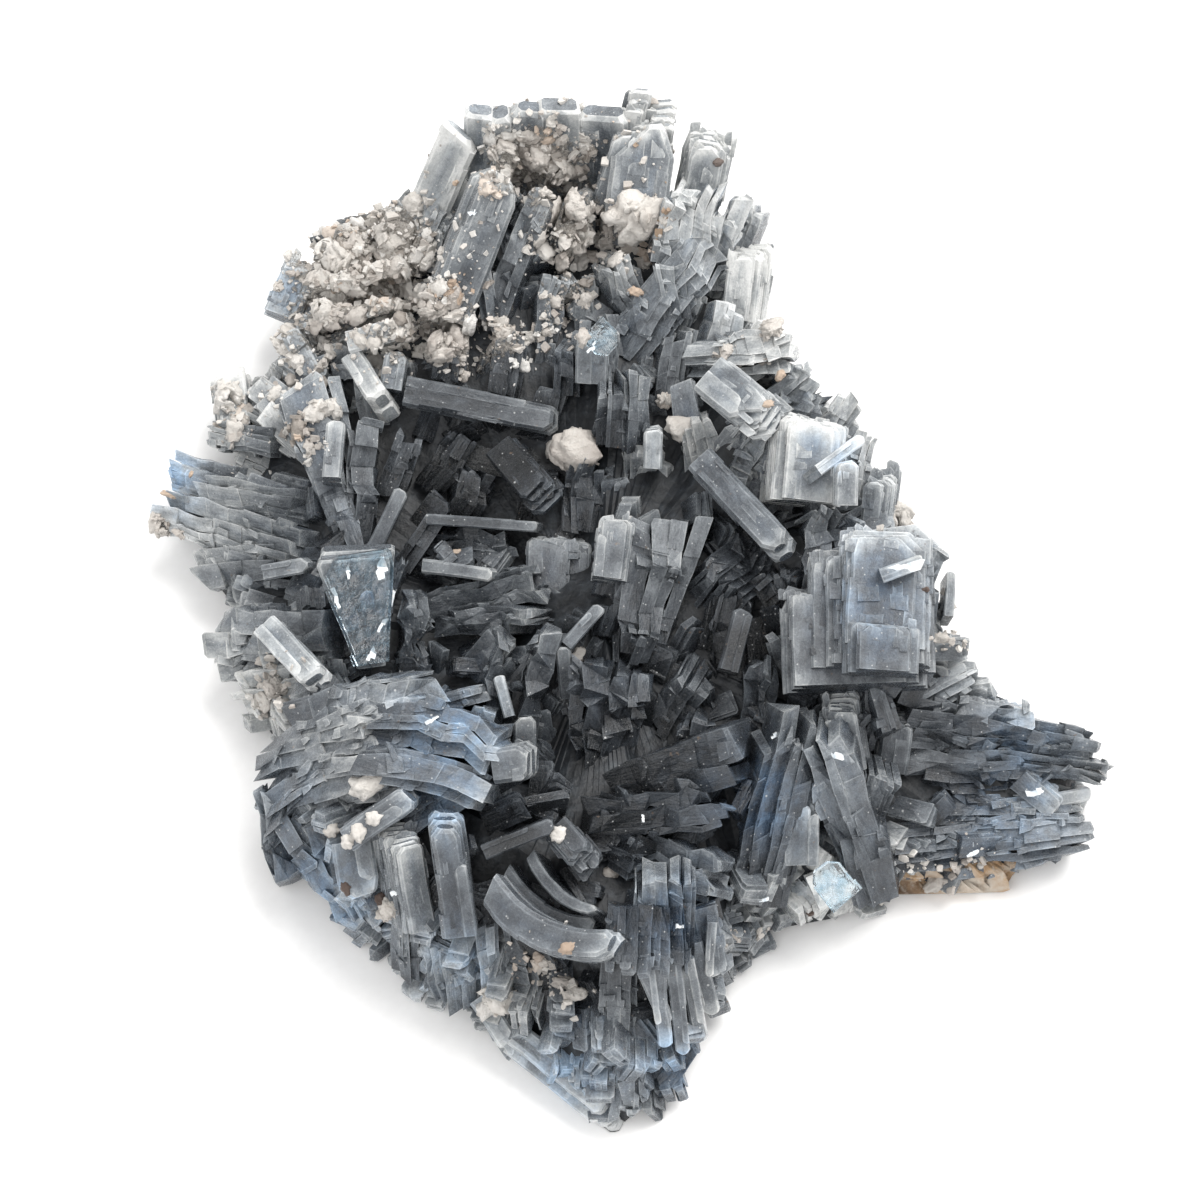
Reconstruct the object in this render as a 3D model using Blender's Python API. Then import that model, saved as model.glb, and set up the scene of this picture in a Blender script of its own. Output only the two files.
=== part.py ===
"""Barite crystal cluster: striated blue-grey blades grown together round a hollow, on a tan matrix."""
import math
import random

import bmesh
import bpy
from mathutils import Matrix, Vector
from mathutils.bvhtree import BVHTree

# Driving dimensions, in millimetres
MM = 0.001
VIEW_DISTANCE = 500.0
VIEW_ELEVATION = math.radians(60.0)
AIM_HEIGHT = 15.0
GAP = 0.3
FLOOR_CLEARANCE = 0.4
BED_DROP = 5.5
BED_LOWEST = 8.2
BED_RIPPLE = 1.6
RIPPLE_WAVES = ((1.9, 0.7), (-0.9, 1.3))
# How softly and how fast a crystal's pull on the bed's height fades with distance
PULL_SOFTNESS = 6.0
PULL_FALLOFF = 1.6
BED_UNDERSIDE = -1.0
WELD = 0.0005
ROCK_TOP = 6.0
ROCK_WAVE = 0.8
ROCK_WAVES = (0.16, 0.13)
ROCK_PHASE = 1.0
# Space round the matrix in its recess, as multiples of the gap, and how deep the cutters reach
RECESS_SIDE = 2.5
RECESS_ROOF = 1.3
RECESS_DEPTH = 4.0
CUTTER_SIZE = 200.0
CUTTER_DEPTH = 20.0
# How many plates are built for a crystal whose real stack is counted as 1 to 5
PLATES_BUILT = {1: 1, 2: 2, 3: 2, 4: 3, 5: 4}
# Neighbouring plates overlap, and no two roots or undersides lie in one plane
PLATE_OVERLAP = 1.14
ROOT_STEP = 0.37
UNDERSIDE_STEP = 0.23
FACE_OVERLAP = 0.15
# Shares of a crystal's length and depth by which its plates differ
REACH_SPREAD = 0.14
TOP_SPREAD = 0.1
FACE_SHRINK = 0.16
FACE_RETREAT = 0.07
FACE_STAGGER = 0.25
# Short blades on the flanks: where their feet stand, the height of a high flank, and the tiers
RIM_FEET = 0.8
HIGH_FLANK = 15.0
TIERS_HIGH = (0.14, 0.36, 0.66)
TIERS_LOW = (0.15, 0.45)
LOWEST_BLADE = 2.4
# How far they reach past the bed's edge at the floor and how much less at the crown, then how they vary
FLANK_REACH = 2.2
FLANK_RETREAT = 2.4
FLANK_FOOT_DROP = 1.0
FLANK_SPREAD = 1.5
FLANK_RISE = (0.5, 2.5)
FLANK_ROLL = 70.0
FLANK_HALF = (1.6, 2.8)
FLANK_NARROWER = 0.8
FLANK_DEEP = (1.0, 2.2)
# How rough a knob is, and how its three sizes differ
KNOB_ROUGHNESS = (0.82, 1.12)
KNOB_SQUASH = (1.1, 0.9, 0.8)
# Rings of each lump: share of the way out from the centre, and share of the height there
BED_RINGS = [(0.985, 0.45), (0.93, 0.92), (0.7, 1.0), (0.45, 1.0), (0.2, 1.0)]
ROCK_RINGS = [(1.0, 0.8), (0.94, 1.0), (0.5, 1.0)]
RECESS_RINGS = [(1.0, 0.96), (0.94, 1.0), (0.5, 1.0)]
# Share of the triangles that stay once the crystals are joined
KEPT_SHARE = 0.60

# The centre that both outlines are drawn round, and the outline of the crystal bed, counterclockwise
BED_CENTRE = (0.0, -2.0)
BED_OUTLINE = [
    (41, 0), (34, 12), (31, 21), (25, 32), (20, 43), (16, 52), (6, 60), (-7, 62), (-18, 61.5), (-26, 58),
    (-33, 52.5), (-40, 44.5), (-46, 35), (-46, 26), (-50, 20), (-51, 13), (-47, 7), (-45, -2), (-43, -9),
    (-38, -17), (-39, -24), (-36, -31), (-29, -39), (-20, -46), (-12, -52), (-4, -60), (3, -64), (9, -58),
    (12, -49), (19, -39), (29, -37), (38, -31.5), (49, -31), (58, -27), (60, -19), (49, -13), (43, -8),
]
# The matrix shows past the crystals along the lower right and behind the right-hand plates
ROCK_OUTLINE = [
    (34, 0), (33, 11), (27, 19), (20, 30), (15, 40), (11, 46), (3, 49), (-8, 50), (-17, 48), (-24, 45),
    (-30, 41), (-35, 36), (-39, 29), (-40, 23), (-43, 17), (-43, 11), (-40, 5), (-38, -2), (-36, -8),
    (-32, -16), (-32, -23), (-29, -29), (-23, -35), (-16, -41), (-10, -46), (-4, -52), (2, -55), (6, -50),
    (10, -43), (17, -35), (28, -33.5), (38, -33.5), (50, -33.2), (54, -26), (52, -20), (42, -13), (37, -8),
]
# Each crystal: foot, tip, width at the foot, depth, plates, then what differs from a plain one.
# Foot and tip are across, up and height in millimetres: across and up in the plane that the view sees.
CRYSTALS = [
    # Crest along the far edge
    ((-15.0, 50.5, 20), (-15.0, 60.4, 33), 3.4, 2.8, 1, {"lay": "face"}),
    ((-12.2, 50.5, 20), (-12.2, 60.0, 33), 3.2, 3.2, 1, {"lay": "face", "roll": 8}),
    ((-9.0, 50.5, 20), (-9.0, 60.8, 34), 4.6, 2.8, 2, {"lay": "face", "roll": -5}),
    ((-4.8, 50.5, 20), (-4.8, 61.0, 34), 5.0, 3.0, 2, {"lay": "face", "roll": 6}),
    ((0.2, 50.5, 20), (0.2, 60.2, 33), 6.2, 2.8, 2, {"lay": "face", "roll": -8}),
    ((-6.8, 49.0, 15), (-6.6, 60.2, 28), 19.0, 3.4, 1, {"lay": "face"}),
    # Far slope, left: clear rhomb, tall prism and its dark neighbour
    ((-22.4, 46.8, 20), (-17.4, 58.0, 31), 6.2, 2.4, 1, {"lay": "face", "corner": 1.6}),
    ((-19.0, 35, 23), (-12.0, 52.8, 35), 6.2, 6, 1, {"lay": "face", "roll": 14, "corner": 1.9}),
    ((-14.0, 35, 20), (-7.5, 51, 30), 3.5, 6, 2, {"roll": -10}),
    ((-6.5, 33, 17), (-5.5, 40, 22), 3.4, 6, 2, {"roll": 12}),
    ((-23.0, 42, 19), (-19.5, 48.5, 24), 3.2, 5, 2, {}),
    ((-6.0, 43, 23), (-2.5, 51.5, 29), 3.0, 6, 2, {"roll": -14}),
    ((-12.5, 51.5, 26), (-11.0, 57.0, 30), 3.6, 6, 2, {"lay": "face", "roll": 10}),
    # Far slope, right: rhomb plates and fans
    ((0.5, 48.5, 24), (4.2, 59.3, 33), 4.5, 4, 2, {"lay": "face", "corner": 0.9}),
    ((5.0, 47.5, 25), (7.4, 57.6, 33), 6.5, 5, 2, {"lay": "face", "corner": 1.6, "roll": -10}),
    ((2.5, 51.5, 22), (4.8, 62.4, 35), 3.0, 3, 2, {"lay": "face"}),
    ((6.5, 51.5, 22), (8.0, 60.3, 33), 4.0, 4, 2, {"lay": "face", "roll": 8}),
    ((12.2, 49.5, 24), (13.8, 57.8, 31), 6.6, 4, 2, {"lay": "face", "corner": 2.0}),
    ((12.0, 42, 24), (14.5, 50.8, 31), 8.0, 8, 4, {"flare": 1.25}),
    ((8.6, 42.5, 24), (10.4, 50.2, 30), 4.0, 6, 2, {"roll": 10}),
    ((16.8, 44, 22), (19.0, 50.0, 26), 3.6, 6, 2, {"roll": -12}),
    ((17.0, 35, 20), (18.2, 44.2, 26), 5.2, 8, 2, {"lay": "face", "roll": -12}),
    ((3.5, 31, 18), (13.5, 44.6, 27), 6.4, 8, 4, {"flare": 1.2}),
    ((-0.6, 27, 20), (-0.3, 33.4, 24), 5.6, 6, 2, {"lay": "face"}),
    ((9.0, 25, 19), (10.5, 33.5, 24), 4.2, 7, 3, {"roll": 8}),
    ((15.0, 29, 20), (17.0, 37.5, 25), 4.0, 7, 2, {"roll": 14}),
    # Upper right: stacked pale plates
    ((12.5, 30.2, 25), (24.6, 31.6, 27), 5.2, 8, 3, {}),
    ((13.5, 28.6, 30), (20.9, 22.6, 31), 6.0, 4, 2, {"lay": "face", "corner": 1.9}),
    ((22.6, 22.0, 22), (27.4, 29.7, 25), 6.6, 8, 3, {}),
    ((27.5, 19.5, 20), (31.6, 25.0, 23), 5.6, 8, 3, {}),
    ((31.0, 13.0, 20), (33.0, 21.2, 24), 4.0, 8, 3, {}),
    ((26.0, 12.4, 27), (27.0, 23.8, 32), 9.6, 9, 4, {"lay": "face", "roll": 6}),
    ((30.8, 11.8, 30), (30.8, 17.2, 33), 3.0, 4, 1, {"lay": "face"}),
    ((27.3, 16.2, 31.5), (33.0, 20.4, 30), 1.5, 5, 1, {}),
    ((34.2, 9.2, 21), (35.0, 15.8, 25), 4.0, 7, 2, {"lay": "face", "roll": -10}),
    ((17.5, 12.0, 20), (21.0, 20.5, 26), 4.6, 7, 3, {"roll": 10}),
    # Right-hand rosette of square plates
    ((31.8, -10.4, 25), (31.2, 3.2, 28.5), 17.6, 5, 2, {"lay": "face", "roll": -4, "stagger": 0.4}),
    ((34.2, -7.8, 28), (34.0, 8.0, 31.5), 15.6, 5, 2, {"lay": "face", "stagger": 0.4}),
    ((35.8, -5.6, 30), (36.2, 9.9, 34), 11.6, 4, 2, {"lay": "face", "corner": 1.6, "roll": 4}),
    ((35.6, -8.8, 31), (35.8, -2.4, 33), 9.0, 4, 2, {"lay": "face", "roll": 6}),
    ((35.2, 3.0, 34), (40.4, 4.9, 35), 1.8, 4, 1, {}),
    ((43.6, -2.0, 23), (43.9, 3.6, 25), 1.2, 8, 1, {}),
    ((28.0, 2.5, 24), (28.3, 12.2, 28), 4.6, 8, 3, {}),
    ((40.5, -12.0, 17), (47.0, -8.6, 18), 4.2, 7, 3, {}),
    ((40.5, 2.0, 21), (42.6, 6.5, 24), 3.4, 7, 2, {"roll": 20}),
    # Slanting pale blade and the dark plates under it
    ((12.3, 17.8, 25), (22.6, 6.8, 27), 4.0, 4, 1, {"lay": "face", "corner": 1.2}),
    ((23.0, 10.0, 18), (16.0, 2.0, 22), 7.5, 8, 3, {}),
    ((13.5, 16.0, 18), (12.0, 22.5, 23), 4.4, 7, 3, {}),
    # Right-hand tail, upper bundle
    ((39.5, -15.3, 17), (63.4, -18.9, 12), 6.0, 8, 3, {"flare": 0.7}),
    ((40.0, -18.6, 15), (64.8, -21.0, 11), 6.4, 8, 4, {"flare": 0.6}),
    ((42.0, -21.8, 12), (57.0, -22.8, 9), 3.6, 6, 2, {"flare": 0.7}),
    ((43.0, -13.4, 17), (54.0, -14.4, 15), 2.6, 7, 2, {}),
    # Right-hand tail, lower bundle and the prongs at its end
    ((38.6, -30.8, 9), (62.2, -28.8, 8), 6.2, 7, 4, {"flare": 0.85}),
    ((41.5, -26.8, 10), (60.0, -26.6, 8.5), 4.4, 7, 3, {"flare": 0.8}),
    ((39.5, -33.0, 6), (58.0, -32.2, 5), 4.0, 5, 3, {"flare": 0.8}),
    ((56.0, -25.2, 8), (61.4, -24.1, 8), 1.8, 5, 1, {}),
    ((36.2, -21.6, 13), (37.2, -14.4, 18), 4.6, 6, 2, {"lay": "face"}),
    # Lower right tent of two leaning blades
    ((20.6, -37.2, 11), (25.2, -14.8, 27), 6.4, 9, 3, {"roll": 12}),
    ((34.2, -36.4, 10), (27.2, -17.2, 26), 6.0, 9, 3, {"roll": -12}),
    ((25.0, -33.2, 13), (25.2, -24.4, 19), 4.8, 6, 2, {"lay": "face"}),
    ((31.4, -21.5, 17), (29.8, -12.8, 24), 4.6, 6, 2, {"lay": "face", "roll": -10}),
    ((20.6, -38.2, 8), (20.6, -33.0, 13), 6.0, 6, 1, {"lay": "face"}),
    ((18.5, -39.6, 5), (35.0, -38.2, 5), 4.6, 5, 2, {}),
    ((26.6, -36.8, 11), (31.6, -34.6, 12), 4.6, 4, 1, {"lay": "face", "corner": 1.2}),
    ((32.4, -37.2, 6), (36.6, -31.6, 10), 4.6, 6, 2, {}),
    ((35.4, -36.4, 5), (38.6, -31.0, 8), 3.0, 5, 2, {}),
    ((33.0, -29.0, 12), (35.8, -22.5, 18), 4.0, 7, 2, {"roll": 10}),
    # Near point: fan of blades, column and slab
    ((8.2, -43.5, 20), (8.3, -35.2, 26), 7.2, 8, 3, {}),
    ((5.8, -39.8, 24), (5.6, -47.8, 20), 9.0, 8, 3, {"flare": 1.1}),
    ((5.0, -45.0, 20), (8.6, -53.2, 13), 2.0, 6, 1, {}),
    ((7.0, -46.0, 19), (8.2, -56.0, 11), 2.0, 6, 1, {"roll": 8}),
    ((9.2, -45.5, 19), (10.4, -57.0, 10), 2.0, 6, 1, {}),
    ((10.8, -45.0, 18), (12.8, -55.4, 9), 2.0, 6, 1, {"roll": -8}),
    ((11.6, -43.0, 17), (14.0, -52.0, 9), 2.4, 6, 1, {}),
    ((5.5, -62.0, 4), (11.0, -54.5, 8), 4.6, 5, 3, {}),
    ((2.5, -46.0, 18), (2.2, -54.5, 11), 4.4, 7, 3, {}),
    ((3.6, -52.0, 12), (3.4, -65.6, 5), 4.6, 7, 3, {}),
    ((12.6, -38.6, 18), (14.6, -48.6, 11), 5.0, 6, 2, {"lay": "face", "roll": -15}),
    ((14.0, -40.4, 19), (13.6, -47.2, 14), 1.2, 4, 1, {}),
    ((-11.0, -54.6, 6), (2.2, -65.2, 4), 4.6, 5, 2, {"lay": "face"}),
    ((-15.0, -49.6, 7), (-10.4, -56.4, 5), 3.6, 5, 2, {"lay": "face"}),
    ((-9.8, -42.0, 16), (-10.0, -52.0, 9), 4.0, 7, 3, {}),
    ((-14.0, -42.0, 15), (-13.8, -49.2, 10), 2.6, 6, 2, {}),
    ((-5.5, -47.0, 12), (-4.0, -56.0, 7), 4.4, 6, 2, {}),
    # Curved blades over the near point
    ((-14.0, -36.2, 23), (1.1, -43.2, 25), 4.2, 6, 1, {"lay": "face", "bend": -2.3}),
    ((-8.8, -31.8, 22), (-0.8, -38.8, 23), 1.5, 6, 1, {"bend": -1.3}),
    ((-12.0, -34.2, 20), (-0.8, -40.6, 20), 2.6, 6, 1, {"bend": -1.8}),
    ((-14.6, -31.6, 24), (-5.9, -28.1, 26), 1.9, 6, 1, {}),
    ((-5.8, -28.4, 24), (-2.3, -32.4, 24), 4.0, 6, 2, {"lay": "face"}),
    ((2.2, -31.4, 18), (14.2, -35.0, 20), 5.0, 8, 3, {"flare": 1.25}),
    # Near middle: striated wedge and slab
    ((1.8, -23.2, 20), (17.2, -19.6, 26), 3.8, 10, 4, {"flare": 2.2}),
    ((-0.8, -27.2, 22), (15.3, -26.0, 24), 4.7, 9, 3, {}),
    # Middle: shell of plates, dark plate, upright blades
    ((4.6, -6.4, 17), (8.0, 12.0, 25), 6.0, 11, 5, {"flare": 2.1}),
    ((1.2, 2.8, 22), (2.2, 11.2, 25), 4.6, 5, 2, {"lay": "face"}),
    ((-5.4, -3.6, 10), (-5.0, 9.3, 14), 9.0, 6, 2, {"lay": "face"}),
    ((-21.7, 10.1, 15), (-8.0, 9.2, 16), 1.4, 6, 1, {}),
    ((-22.0, 7.0, 12), (-10.0, 7.0, 13), 3.2, 6, 2, {}),
    ((-22.3, 4.3, 16), (-13.6, 3.2, 17), 1.8, 4, 1, {}),
    ((-21.4, -0.8, 13), (-7.0, 2.4, 17), 3.4, 7, 3, {"flare": 1.4}),
    ((-19.0, -2.8, 14), (-8.4, -2.6, 18), 3.4, 7, 2, {}),
    ((-4.2, -5.6, 19), (0.1, -0.9, 21), 1.7, 5, 1, {}),
    ((-9.3, -22.0, 12), (-9.4, -14.6, 16), 2.8, 7, 1, {}),
    ((-9.5, -16.5, 14), (-6.0, -4.0, 22), 2.7, 7, 2, {}),
    ((-13.0, -16.2, 12), (-11.4, -4.0, 19), 3.0, 7, 2, {"roll": 12}),
    ((-11.4, -14.5, 17), (-12.8, -9.4, 19), 1.4, 4, 1, {"lay": "face"}),
    ((-4.0, -12.4, 14), (-4.6, -6.0, 19), 2.0, 6, 1, {}),
    ((0.4, -20.6, 14), (1.6, -7.8, 22), 7.2, 10, 4, {"flare": 1.45}),
    ((8.2, -15.6, 12), (11.6, -10.4, 17), 5.0, 8, 2, {}),
    ((15.2, -11.0, 12), (17.0, 0.2, 20), 4.6, 8, 2, {}),
    ((16.1, -8.8, 19), (18.1, -1.1, 22), 2.6, 4, 1, {"lay": "face"}),
    ((19.5, -18.0, 13), (20.5, -8.0, 19), 4.0, 8, 2, {}),
    ((-23.5, -10.6, 12), (-22.4, 0.2, 19), 3.0, 8, 2, {"roll": 10}),
    ((-18.4, -12.6, 15), (-13.6, -11.6, 16), 2.2, 5, 2, {}),
    ((-16.2, -18.2, 16), (-14.4, -13.8, 19), 3.0, 5, 2, {}),
    ((-2.4, 10.0, 13), (-1.6, 17.6, 18), 5.0, 7, 3, {}),
    ((5.0, 13.5, 15), (5.6, 19.0, 19), 5.0, 7, 2, {}),
    ((-8.8, 10.4, 11), (-7.2, 16.0, 15), 3.6, 6, 2, {}),
    # Stubs and the long bar across the back of the hollow
    ((1.2, 20.2, 20), (1.4, 26.9, 25), 3.4, 8, 2, {}),
    ((4.6, 20.2, 20), (5.0, 28.8, 25), 3.4, 8, 2, {"roll": 12}),
    ((6.6, 16.4, 21), (6.7, 21.3, 24), 2.5, 7, 1, {"lay": "face"}),
    ((-24.4, 26.2, 17.5), (-5.6, 22.3, 17.5), 4.0, 5, 1, {"lay": "face", "corner": 0.8}),
    ((-12.6, 19.6, 16), (-7.4, 13.4, 18), 5.0, 4, 2, {"lay": "face"}),
    ((-21.0, 14.5, 12), (-17.0, 20.5, 16), 4.0, 6, 2, {}),
    ((-26.0, 14.0, 13), (-23.5, 21.5, 17), 3.6, 6, 2, {}),
    ((-28.6, 5.8, 13), (-24.8, 13.7, 17), 1.9, 5, 1, {}),
    ((-24.0, 5.0, 12), (-20.4, 10.6, 15), 2.6, 6, 2, {}),
    ((-12.0, 26.5, 17), (-11.0, 33.0, 21), 4.4, 7, 2, {}),
    ((-19.0, 28.0, 18), (-18.5, 34.0, 22), 4.4, 6, 2, {}),
    ((-4.5, 26.0, 17), (-4.0, 32.0, 21), 3.6, 7, 2, {"roll": -10}),
    ((-17.0, 10.5, 11), (-15.0, 16.0, 15), 4.0, 6, 2, {"roll": 15}),
    ((-13.0, 34.5, 20), (-14.5, 40.5, 24), 3.4, 7, 2, {}),
    ((-28.5, 23.0, 15), (-30.0, 29.5, 19), 3.6, 7, 2, {"roll": -12}),
    ((5.0, 36.0, 20), (2.0, 42.5, 25), 3.8, 7, 2, {"roll": 12}),
    ((9.5, 35.5, 21), (8.5, 42.5, 26), 3.8, 7, 2, {}),
    ((-28.0, -3.0, 12), (-26.5, 4.5, 16), 3.4, 7, 2, {}),
    ((10.0, -22.0, 13), (12.5, -15.0, 18), 3.6, 8, 2, {}),
    ((26.5, -12.0, 14), (22.0, -4.5, 19), 4.0, 8, 2, {}),
    # Left: upright fan, low fans that point left
    ((-30.4, 6.4, 12), (-37.2, 28.0, 18), 3.2, 8, 4, {"flare": 3.0}),
    ((-29.8, 8.0, 13), (-30.0, 22.4, 18), 3.0, 8, 2, {"flare": 1.3}),
    ((-33.6, 15.4, 18), (-33.0, 22.6, 20), 2.5, 4, 1, {"lay": "face"}),
    ((-40.0, 7.0, 14), (-56.2, 11.6, 9), 5.4, 7, 4, {"flare": 1.05}),
    ((-40.0, 12.0, 15), (-51.5, 13.6, 11), 4.6, 7, 2, {}),
    ((-41.5, 4.6, 12), (-52.0, 3.6, 7), 4.4, 6, 3, {"flare": 1.25}),
    ((-47.0, 14.6, 9), (-54.2, 16.4, 7), 5.0, 6, 2, {}),
    ((-42.5, 20.0, 12), (-49.6, 20.8, 9), 3.6, 7, 2, {}),
    ((-46.0, 21.8, 9), (-46.8, 29.6, 11), 5.0, 7, 2, {"lay": "face"}),
    ((-39.0, 35.4, 10), (-35.9, 42.8, 13), 7.4, 6, 2, {"lay": "face"}),
    # Upper left slope under the drusy crust
    ((-37.0, 39.2, 15), (-25.0, 41.6, 21), 2.0, 8, 1, {}),
    ((-32.2, 37.5, 13), (-30.6, 45.2, 19), 5.4, 6, 2, {"lay": "face", "roll": 8}),
    ((-26.2, 40.0, 15), (-24.6, 48.6, 22), 6.0, 6, 2, {"lay": "face", "roll": -8}),
    ((-21.6, 41.0, 17), (-20.6, 47.2, 23), 4.0, 5, 2, {"lay": "face"}),
    ((-38.0, 34.6, 14), (-26.0, 36.8, 20), 2.0, 8, 1, {}),
    ((-35.0, 44.4, 12), (-27.0, 47.4, 17), 4.0, 7, 2, {}),
    ((-27.4, 45.6, 17), (-22.6, 50.6, 20), 3.4, 6, 2, {}),
    ((-31.6, 32.2, 20), (-24.4, 34.2, 23), 3.0, 5, 1, {"lay": "face"}),
    ((-31.2, 30.8, 19), (-27.8, 25.4, 20), 3.0, 6, 1, {"lay": "face"}),
    ((-26.2, 26.4, 19), (-25.4, 31.2, 21), 3.0, 6, 1, {"lay": "face"}),
    # Left: clear crystal, short bar and the bundle that points left
    ((-28.6, -8.4, 14), (-31.0, 5.4, 24), 3.8, 6, 1, {"lay": "face", "flare": 2.75}),
    ((-42.2, 3.4, 15), (-36.6, 4.4, 16), 2.0, 6, 1, {}),
    ((-35.6, -5.0, 16), (-49.4, -5.6, 9), 6.6, 8, 4, {"flare": 1.45}),
    ((-36.0, -9.6, 14), (-46.2, -12.2, 8), 4.6, 7, 2, {}),
    ((-42.1, -3.0, 18), (-36.0, -9.6, 20), 3.5, 4, 1, {"lay": "face"}),
    # Lower left: arched layers
    ((-38.2, -15.4, 18), (-24.0, -12.8, 27), 5.6, 9, 3, {"bend": 0.8}),
    ((-27.8, -15.6, 26), (-12.0, -20.2, 28), 5.4, 9, 3, {"bend": 1.4}),
    ((-13.6, -20.8, 27), (-9.1, -20.2, 28), 4.5, 7, 1, {"lay": "face"}),
    ((-41.8, -21.0, 13), (-27.0, -17.8, 26), 6.6, 9, 3, {"bend": 1.2}),
    ((-41.6, -27.2, 11), (-26.0, -21.8, 25), 6.0, 9, 3, {"bend": 1.2}),
    ((-29.5, -20.8, 26), (-13.6, -25.2, 25), 4.8, 9, 3, {"bend": 1.2}),
    ((-25.4, -28.2, 20), (-17.0, -23.6, 23), 4.0, 8, 2, {}),
    ((-39.8, -33.2, 8), (-41.6, -22.4, 12), 3.6, 7, 2, {}),
    ((-31.2, -23.9, 23.5), (-26.5, -22.3, 24.5), 2.4, 3, 1, {"lay": "face"}),
    ((-31.8, -30.0, 22), (-23.8, -24.6, 26), 3.3, 6, 1, {"lay": "face"}),
    ((-38.6, -28.4, 12), (-28.4, -42.4, 7), 4.2, 6, 3, {}),
    ((-35.2, -29.0, 14), (-26.8, -40.2, 10), 3.0, 6, 2, {}),
    ((-31.0, -30.2, 18), (-30.0, -37.2, 15), 5.2, 6, 1, {"lay": "face", "corner": 1.4}),
    ((-17.5, -42.2, 18), (-19.5, -28.4, 28), 4.5, 7, 1, {"lay": "face"}),
    ((-22.0, -41.4, 15), (-24.2, -28.8, 24), 4.7, 8, 2, {"lay": "face", "roll": 22}),
    ((-17.6, -49.8, 7), (-19.2, -42.4, 13), 6.4, 6, 3, {}),
    ((-24.0, -46.6, 6), (-24.2, -40.0, 12), 4.2, 6, 2, {}),
]

# Pale knobs and chips: across, up, height, radius
KNOBS = [
    (4.5, 47.5, 24.5, 3.4), (-12, 56, 28.5, 1.9), (-8, 55, 27, 2.0), (-5, 52.5, 25, 2.0),
    (-3.2, 49, 27, 1.8), (-2.5, 44.5, 22, 2.0), (-4, 39, 18, 1.8), (-12, 33, 18, 1.9),
    (-20, 31.5, 20.5, 2.0), (-22, 37, 24, 1.8), (-26, 44.5, 18, 1.9), (-30, 38.5, 16, 2.0),
    (-33, 42.5, 17, 2.2), (-35, 37, 17, 1.9), (21.5, 34, 27, 1.7), (-2.9, 18.9, 16.5, 3.0),
    (-13.7, -50.7, 9, 1.9), (-39, 32.5, 12, 2.2), (-56.6, 8.4, 7, 1.7), (-41, -11, 11.5, 1.5),
    (-33, 24, 17.5, 1.5), (38.5, 9.8, 15.5, 2.6), (43.5, -5.5, 15, 2.0), (-26.5, -38.8, 14, 1.5),
    (-47, 25.5, 11, 2.0), (18, -40.6, 4, 1.4), (-33.6, -28.6, 15, 1.2), (7.8, 24.7, 19.5, 1.2),
]


def place(across, up, height):
    """The point at a height that the view sees at across, up in the plane through its aim."""
    eye = Vector((0.0, -VIEW_DISTANCE * math.cos(VIEW_ELEVATION),
                  AIM_HEIGHT + VIEW_DISTANCE * math.sin(VIEW_ELEVATION)))
    target = Vector((across, up * math.sin(VIEW_ELEVATION), AIM_HEIGHT + up * math.cos(VIEW_ELEVATION)))
    ray = target - eye
    return eye + ray * ((height - eye.z) / ray.z)


def crystal_frame(foot, tip, roll):
    """Axes of a crystal: X from foot to tip, Y across it, Z out of the face that the view sees."""
    along = (tip - foot).normalized()
    away = Vector((0.0, math.cos(VIEW_ELEVATION), -math.sin(VIEW_ELEVATION)))
    outward = -(away - along * away.dot(along)).normalized()
    across = outward.cross(along)
    axes = Matrix((along, across, outward)).transposed()
    return Matrix.Translation(foot) @ (axes @ Matrix.Rotation(math.radians(roll), 3, "X")).to_4x4()


def add_plate(mesh, frame, ends, middles, halves, levels, corner=0.0, bend=0.0):
    """One tabular crystal: a box tapered from foot to tip, with its tip corners cut off or its length bent."""
    plate = bmesh.new()
    bmesh.ops.create_cube(plate, size=1.0)
    if bend:
        long_edges = [edge for edge in plate.edges if abs(edge.verts[0].co.x - edge.verts[1].co.x) > 0.5]
        bmesh.ops.subdivide_edges(plate, edges=long_edges, cuts=2)
    if corner:
        tip_edges = [edge for edge in plate.edges if min(vert.co.x for vert in edge.verts) > 0.4
                     and abs(edge.verts[0].co.z - edge.verts[1].co.z) > 0.5]
    for vert in plate.verts:
        share = vert.co.x + 0.5
        side = 2.0 * vert.co.y
        middle = middles[0] + (middles[1] - middles[0]) * share
        half = halves[0] + (halves[1] - halves[0]) * share
        arch = 4.0 * bend * share * (1.0 - share)
        vert.co = Vector((ends[0] + (ends[1] - ends[0]) * share, middle + side * half + arch,
                          levels[0] if vert.co.z < 0.0 else levels[1]))
    if corner:
        bmesh.ops.bevel(plate, geom=tip_edges, offset=corner, segments=1, affect="EDGES")
    bmesh.ops.transform(plate, matrix=frame, verts=plate.verts)
    finished = bpy.data.meshes.new("plate")
    plate.to_mesh(finished)
    plate.free()
    mesh.from_mesh(finished)
    bpy.data.meshes.remove(finished)


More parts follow.
